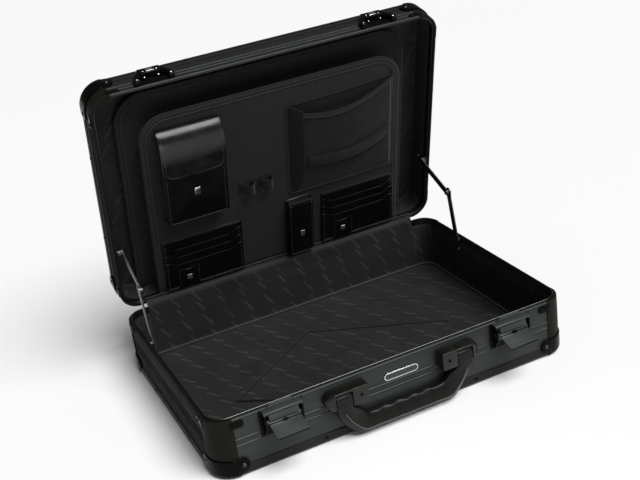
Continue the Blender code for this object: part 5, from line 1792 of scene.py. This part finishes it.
def cable_pocket():
    """A gusseted cloth pocket whose front panel bellies out under a slack hem."""
    rows = []
    for i in range(POCKET_COLUMNS + 1):
        column = [pocket_front(i / POCKET_COLUMNS, j / POCKET_ROWS) for j in range(POCKET_ROWS + 1)]
        rows.append([on_lid(*spot) for spot in column])
    front = pocket_piece(skin(rows), "front_cloth", NET, 80, ("cable_pocket",))
    front.modifiers.new("cloth", "SOLIDIFY").thickness = POCKET_CLOTH
    pocket_hem()
    for settings in POCKET_SIDES:
        pocket_gusset(*settings)
    back = []
    for i in range(25):
        share = i / 24
        heights = (POCKET_FOOT, 0.1700, 0.2360 + 0.0060 * share ** 2)
        back.append([on_lid(0.0150 + 0.1500 * share, v, 0.0010) for v in heights])
    pocket_piece(skin(back), "back_cloth", NET, 80)
    pocket_piece(tube([row[-1] for row in back], 0.0009, steps=8), "back_edge", BINDING)
    pocket_tapes()


# The strap's section as (height, distance out), round from its lower edge.
STRAP_SECTION = (
    (-0.0083, 0.0), (-0.0078, -0.0006), (0.0, -0.0009), (0.0078, -0.0006), (0.0083, 0.0),
    (0.0078, 0.0005), (0.0, 0.0004), (-0.0078, 0.0005),
)


def cable_strap():
    """An elastic strap that crosses the pocket's front, slack in its middle."""
    rows = []
    for k in range(49):
        share = k / 48
        u = 0.035 + 0.93 * share
        slack = math.sin(math.pi * share)
        x = pocket_front(u, 0.5)[0]
        row = []
        for v, out in STRAP_SECTION:
            height = 0.1570 + v - 0.0035 * slack + 0.0075 * share ** 3
            part = (height - POCKET_FOOT) / 0.122
            depth = pocket_front(u, min(max(part, 0.0), 1.0))[2]
            row.append(on_lid(x, height, depth - 0.0014 - 0.0030 * slack + out))
        rows.append(row)
    strap = skin(rows, ring=True, capped=True)
    lid_piece(strap, "cable_strap_elastic", ELASTIC, "elastic", stands_for=("cable_strap",), sharp=60)


PEN_XS = (-0.045, -0.019)
PEN_RADIUS = 0.0062
PEN_FOOT = 0.1300
PEN_WIDTH = 0.0150
PEN_THICK = 0.00055
PEN_STITCH_XS = (-0.0540, -0.0335, -0.0305, -0.0100)
# The elastic's section, as (height, share of its thickness).
PEN_SECTION = (
    (0, -0.7), (0.0005, -1), (PEN_WIDTH / 2, -1.15), (PEN_WIDTH - 0.0005, -1), (PEN_WIDTH, -0.7),
    (PEN_WIDTH, 0.7), (PEN_WIDTH - 0.0005, 1), (PEN_WIDTH / 2, 1.0), (0.0005, 1), (0, 0.7),
)


def pen_line():
    """(across, depth) points along the elastic, over both arches."""
    face = FRONT_BOARD_FACE
    flat, sewn, foot = face - 0.0009, face - 0.0008, face - 0.0014
    centre, reach = face - 0.0012 - PEN_RADIUS, PEN_RADIUS + 0.0005
    between = [(-0.0345, flat), (-0.0320, sewn), (-0.0295, flat)]
    line = [(-0.0565, sewn), (-0.0530, flat)]
    for x, following in zip(PEN_XS, (between, [(-0.0110, flat), (-0.0075, sewn)])):
        angles = [math.radians(180 - turn) for turn in range(0, 181, 15)]
        line.append((x - PEN_RADIUS - 0.0006, foot))
        line += [(x + reach * math.cos(a), centre - reach * math.sin(a)) for a in angles]
        line.append((x + PEN_RADIUS + 0.0006, foot))
        line += following
    return line


def pen_loops():
    """Elastic sewn down in arches that hold the pens."""
    line = pen_line()
    rows = []
    for index, (x, w) in enumerate(line):
        before, after = line[max(index - 1, 0)], line[min(index + 1, len(line) - 1)]
        way = Vector((after[0] - before[0], after[1] - before[1])).normalized()
        across, out = way.y * PEN_THICK, -way.x * PEN_THICK
        row = [on_lid(x + across * share, PEN_FOOT + v, w + out * share) for v, share in PEN_SECTION]
        rows.append(row)
    elastic = skin(rows, ring=True, capped=True)
    lid_piece(elastic, "pen_loops_elastic", ELASTIC, "elastic", stands_for=("pen_loops",), sharp=50)
    ends = (PEN_FOOT + 0.001, PEN_FOOT + PEN_WIDTH - 0.001)
    lines = [[on_lid(x, v, FRONT_BOARD_FACE - 0.0015) for v in ends] for x in PEN_STITCH_XS]
    stitches("pen_loops_stitches", lines, "elastic", 0.0028, 0.0018)


def organiser():
    """The two boards, the fans between them, and all that is sewn to the front board."""
    for place in BOARDS:
        board(place)
    for side, sign in (("left", -1), ("right", 1)):
        fold_gusset(side, sign)
    phone_pouch()
    phone_flap()
    card_pocket("left", -0.167, -0.058, 0.088)
    card_pocket("right", 0.060, 0.169, 0.090)
    stick_pouch()
    cable_pocket()
    cable_strap()
    pen_loops()


organiser()
# Camera, light and floor -------------------------------------------------------------------


# The camera's azimuth, elevation and roll in degrees, fitted to the photo.
VIEW = (21.43, 24.34, 8.53)
CAMERA_SPOT = (-0.4689, -1.1018, 0.7172)
LENS = 61.08
SHIFT = (0.0353, -0.0066)
FLOOR_HALF = 40.0
FLOOR_GAP = 0.0002
FLOOR_GREY = 0.83
SKY_STRENGTH = 0.14
KEY_TOWARDS = (0.35, -0.75, 1.30)
KEY_SPREAD = 40
KEY_STRENGTH = 3.9
FILL_SPOT = (-0.20, -0.75, 0.20)
FILL_AIM = (-0.20, 0.0, 0.05)
FILL_SIZE = 0.20
FILL_POWER = 0.50


def camera():
    """Looks down on the case from its front left, with the tilt of a product shot."""
    azimuth, elevation, roll = (math.radians(angle) for angle in VIEW)
    ahead = Vector((
        math.sin(azimuth) * math.cos(elevation),
        math.cos(azimuth) * math.cos(elevation),
        -math.sin(elevation),
    ))
    level = ahead.cross(Vector((0, 0, 1))).normalized()
    above = level.cross(ahead)
    right = level * math.cos(roll) - above * math.sin(roll)
    up = right.cross(ahead)
    data = bpy.data.cameras.new("camera")
    data.lens = LENS
    data.shift_x, data.shift_y = SHIFT
    data.clip_start = 0.05
    item = bpy.data.objects.new("camera", data)
    turn = Matrix((right, up, -ahead)).transposed().to_4x4()
    item.matrix_world = Matrix.Translation(CAMERA_SPOT) @ turn
    bpy.context.scene.collection.objects.link(item)
    bpy.context.scene.camera = item


def light(name, kind, towards, strength):
    """A light that shines from the direction given."""
    data = bpy.data.lights.new(name, kind)
    data.energy = strength
    item = bpy.data.objects.new(name, data)
    item.rotation_mode = "QUATERNION"
    item.rotation_quaternion = Vector(towards).to_track_quat("Z", "Y")
    bpy.context.scene.collection.objects.link(item)
    return item


def pale_floor():
    look = Look("pale_floor", 0.75)
    look.shader.inputs["Base Color"].default_value = (*grey(FLOOR_GREY), 1.0)
    shape = bmesh.new()
    bmesh.ops.create_grid(shape, x_segments=1, y_segments=1, size=FLOOR_HALF)
    mesh = bpy.data.meshes.new("floor")
    shape.to_mesh(mesh)
    shape.free()
    mesh.materials.append(look.material)
    floor = bpy.data.objects.new("floor", mesh)
    floor.location = (0, 0, cad_low.z - FLOOR_GAP)
    bpy.context.scene.collection.objects.link(floor)


def studio():
    """A pale floor under a dim white sky, a wide key light and a small fill in front."""
    pale_floor()
    world = bpy.data.worlds.new("studio")
    world.use_nodes = True
    sky = world.node_tree.nodes["Background"].inputs
    sky["Color"].default_value = (1.0, 1.0, 1.0, 1.0)
    sky["Strength"].default_value = SKY_STRENGTH
    bpy.context.scene.world = world
    bpy.context.scene.view_settings.view_transform = "Standard"
    key = light("key", "SUN", KEY_TOWARDS, KEY_STRENGTH)
    key.data.angle = math.radians(KEY_SPREAD)
    fill = light("front_fill", "AREA", Vector(FILL_SPOT) - Vector(FILL_AIM), FILL_POWER)
    fill.data.size = FILL_SIZE
    fill.location = FILL_SPOT


camera()
studio()
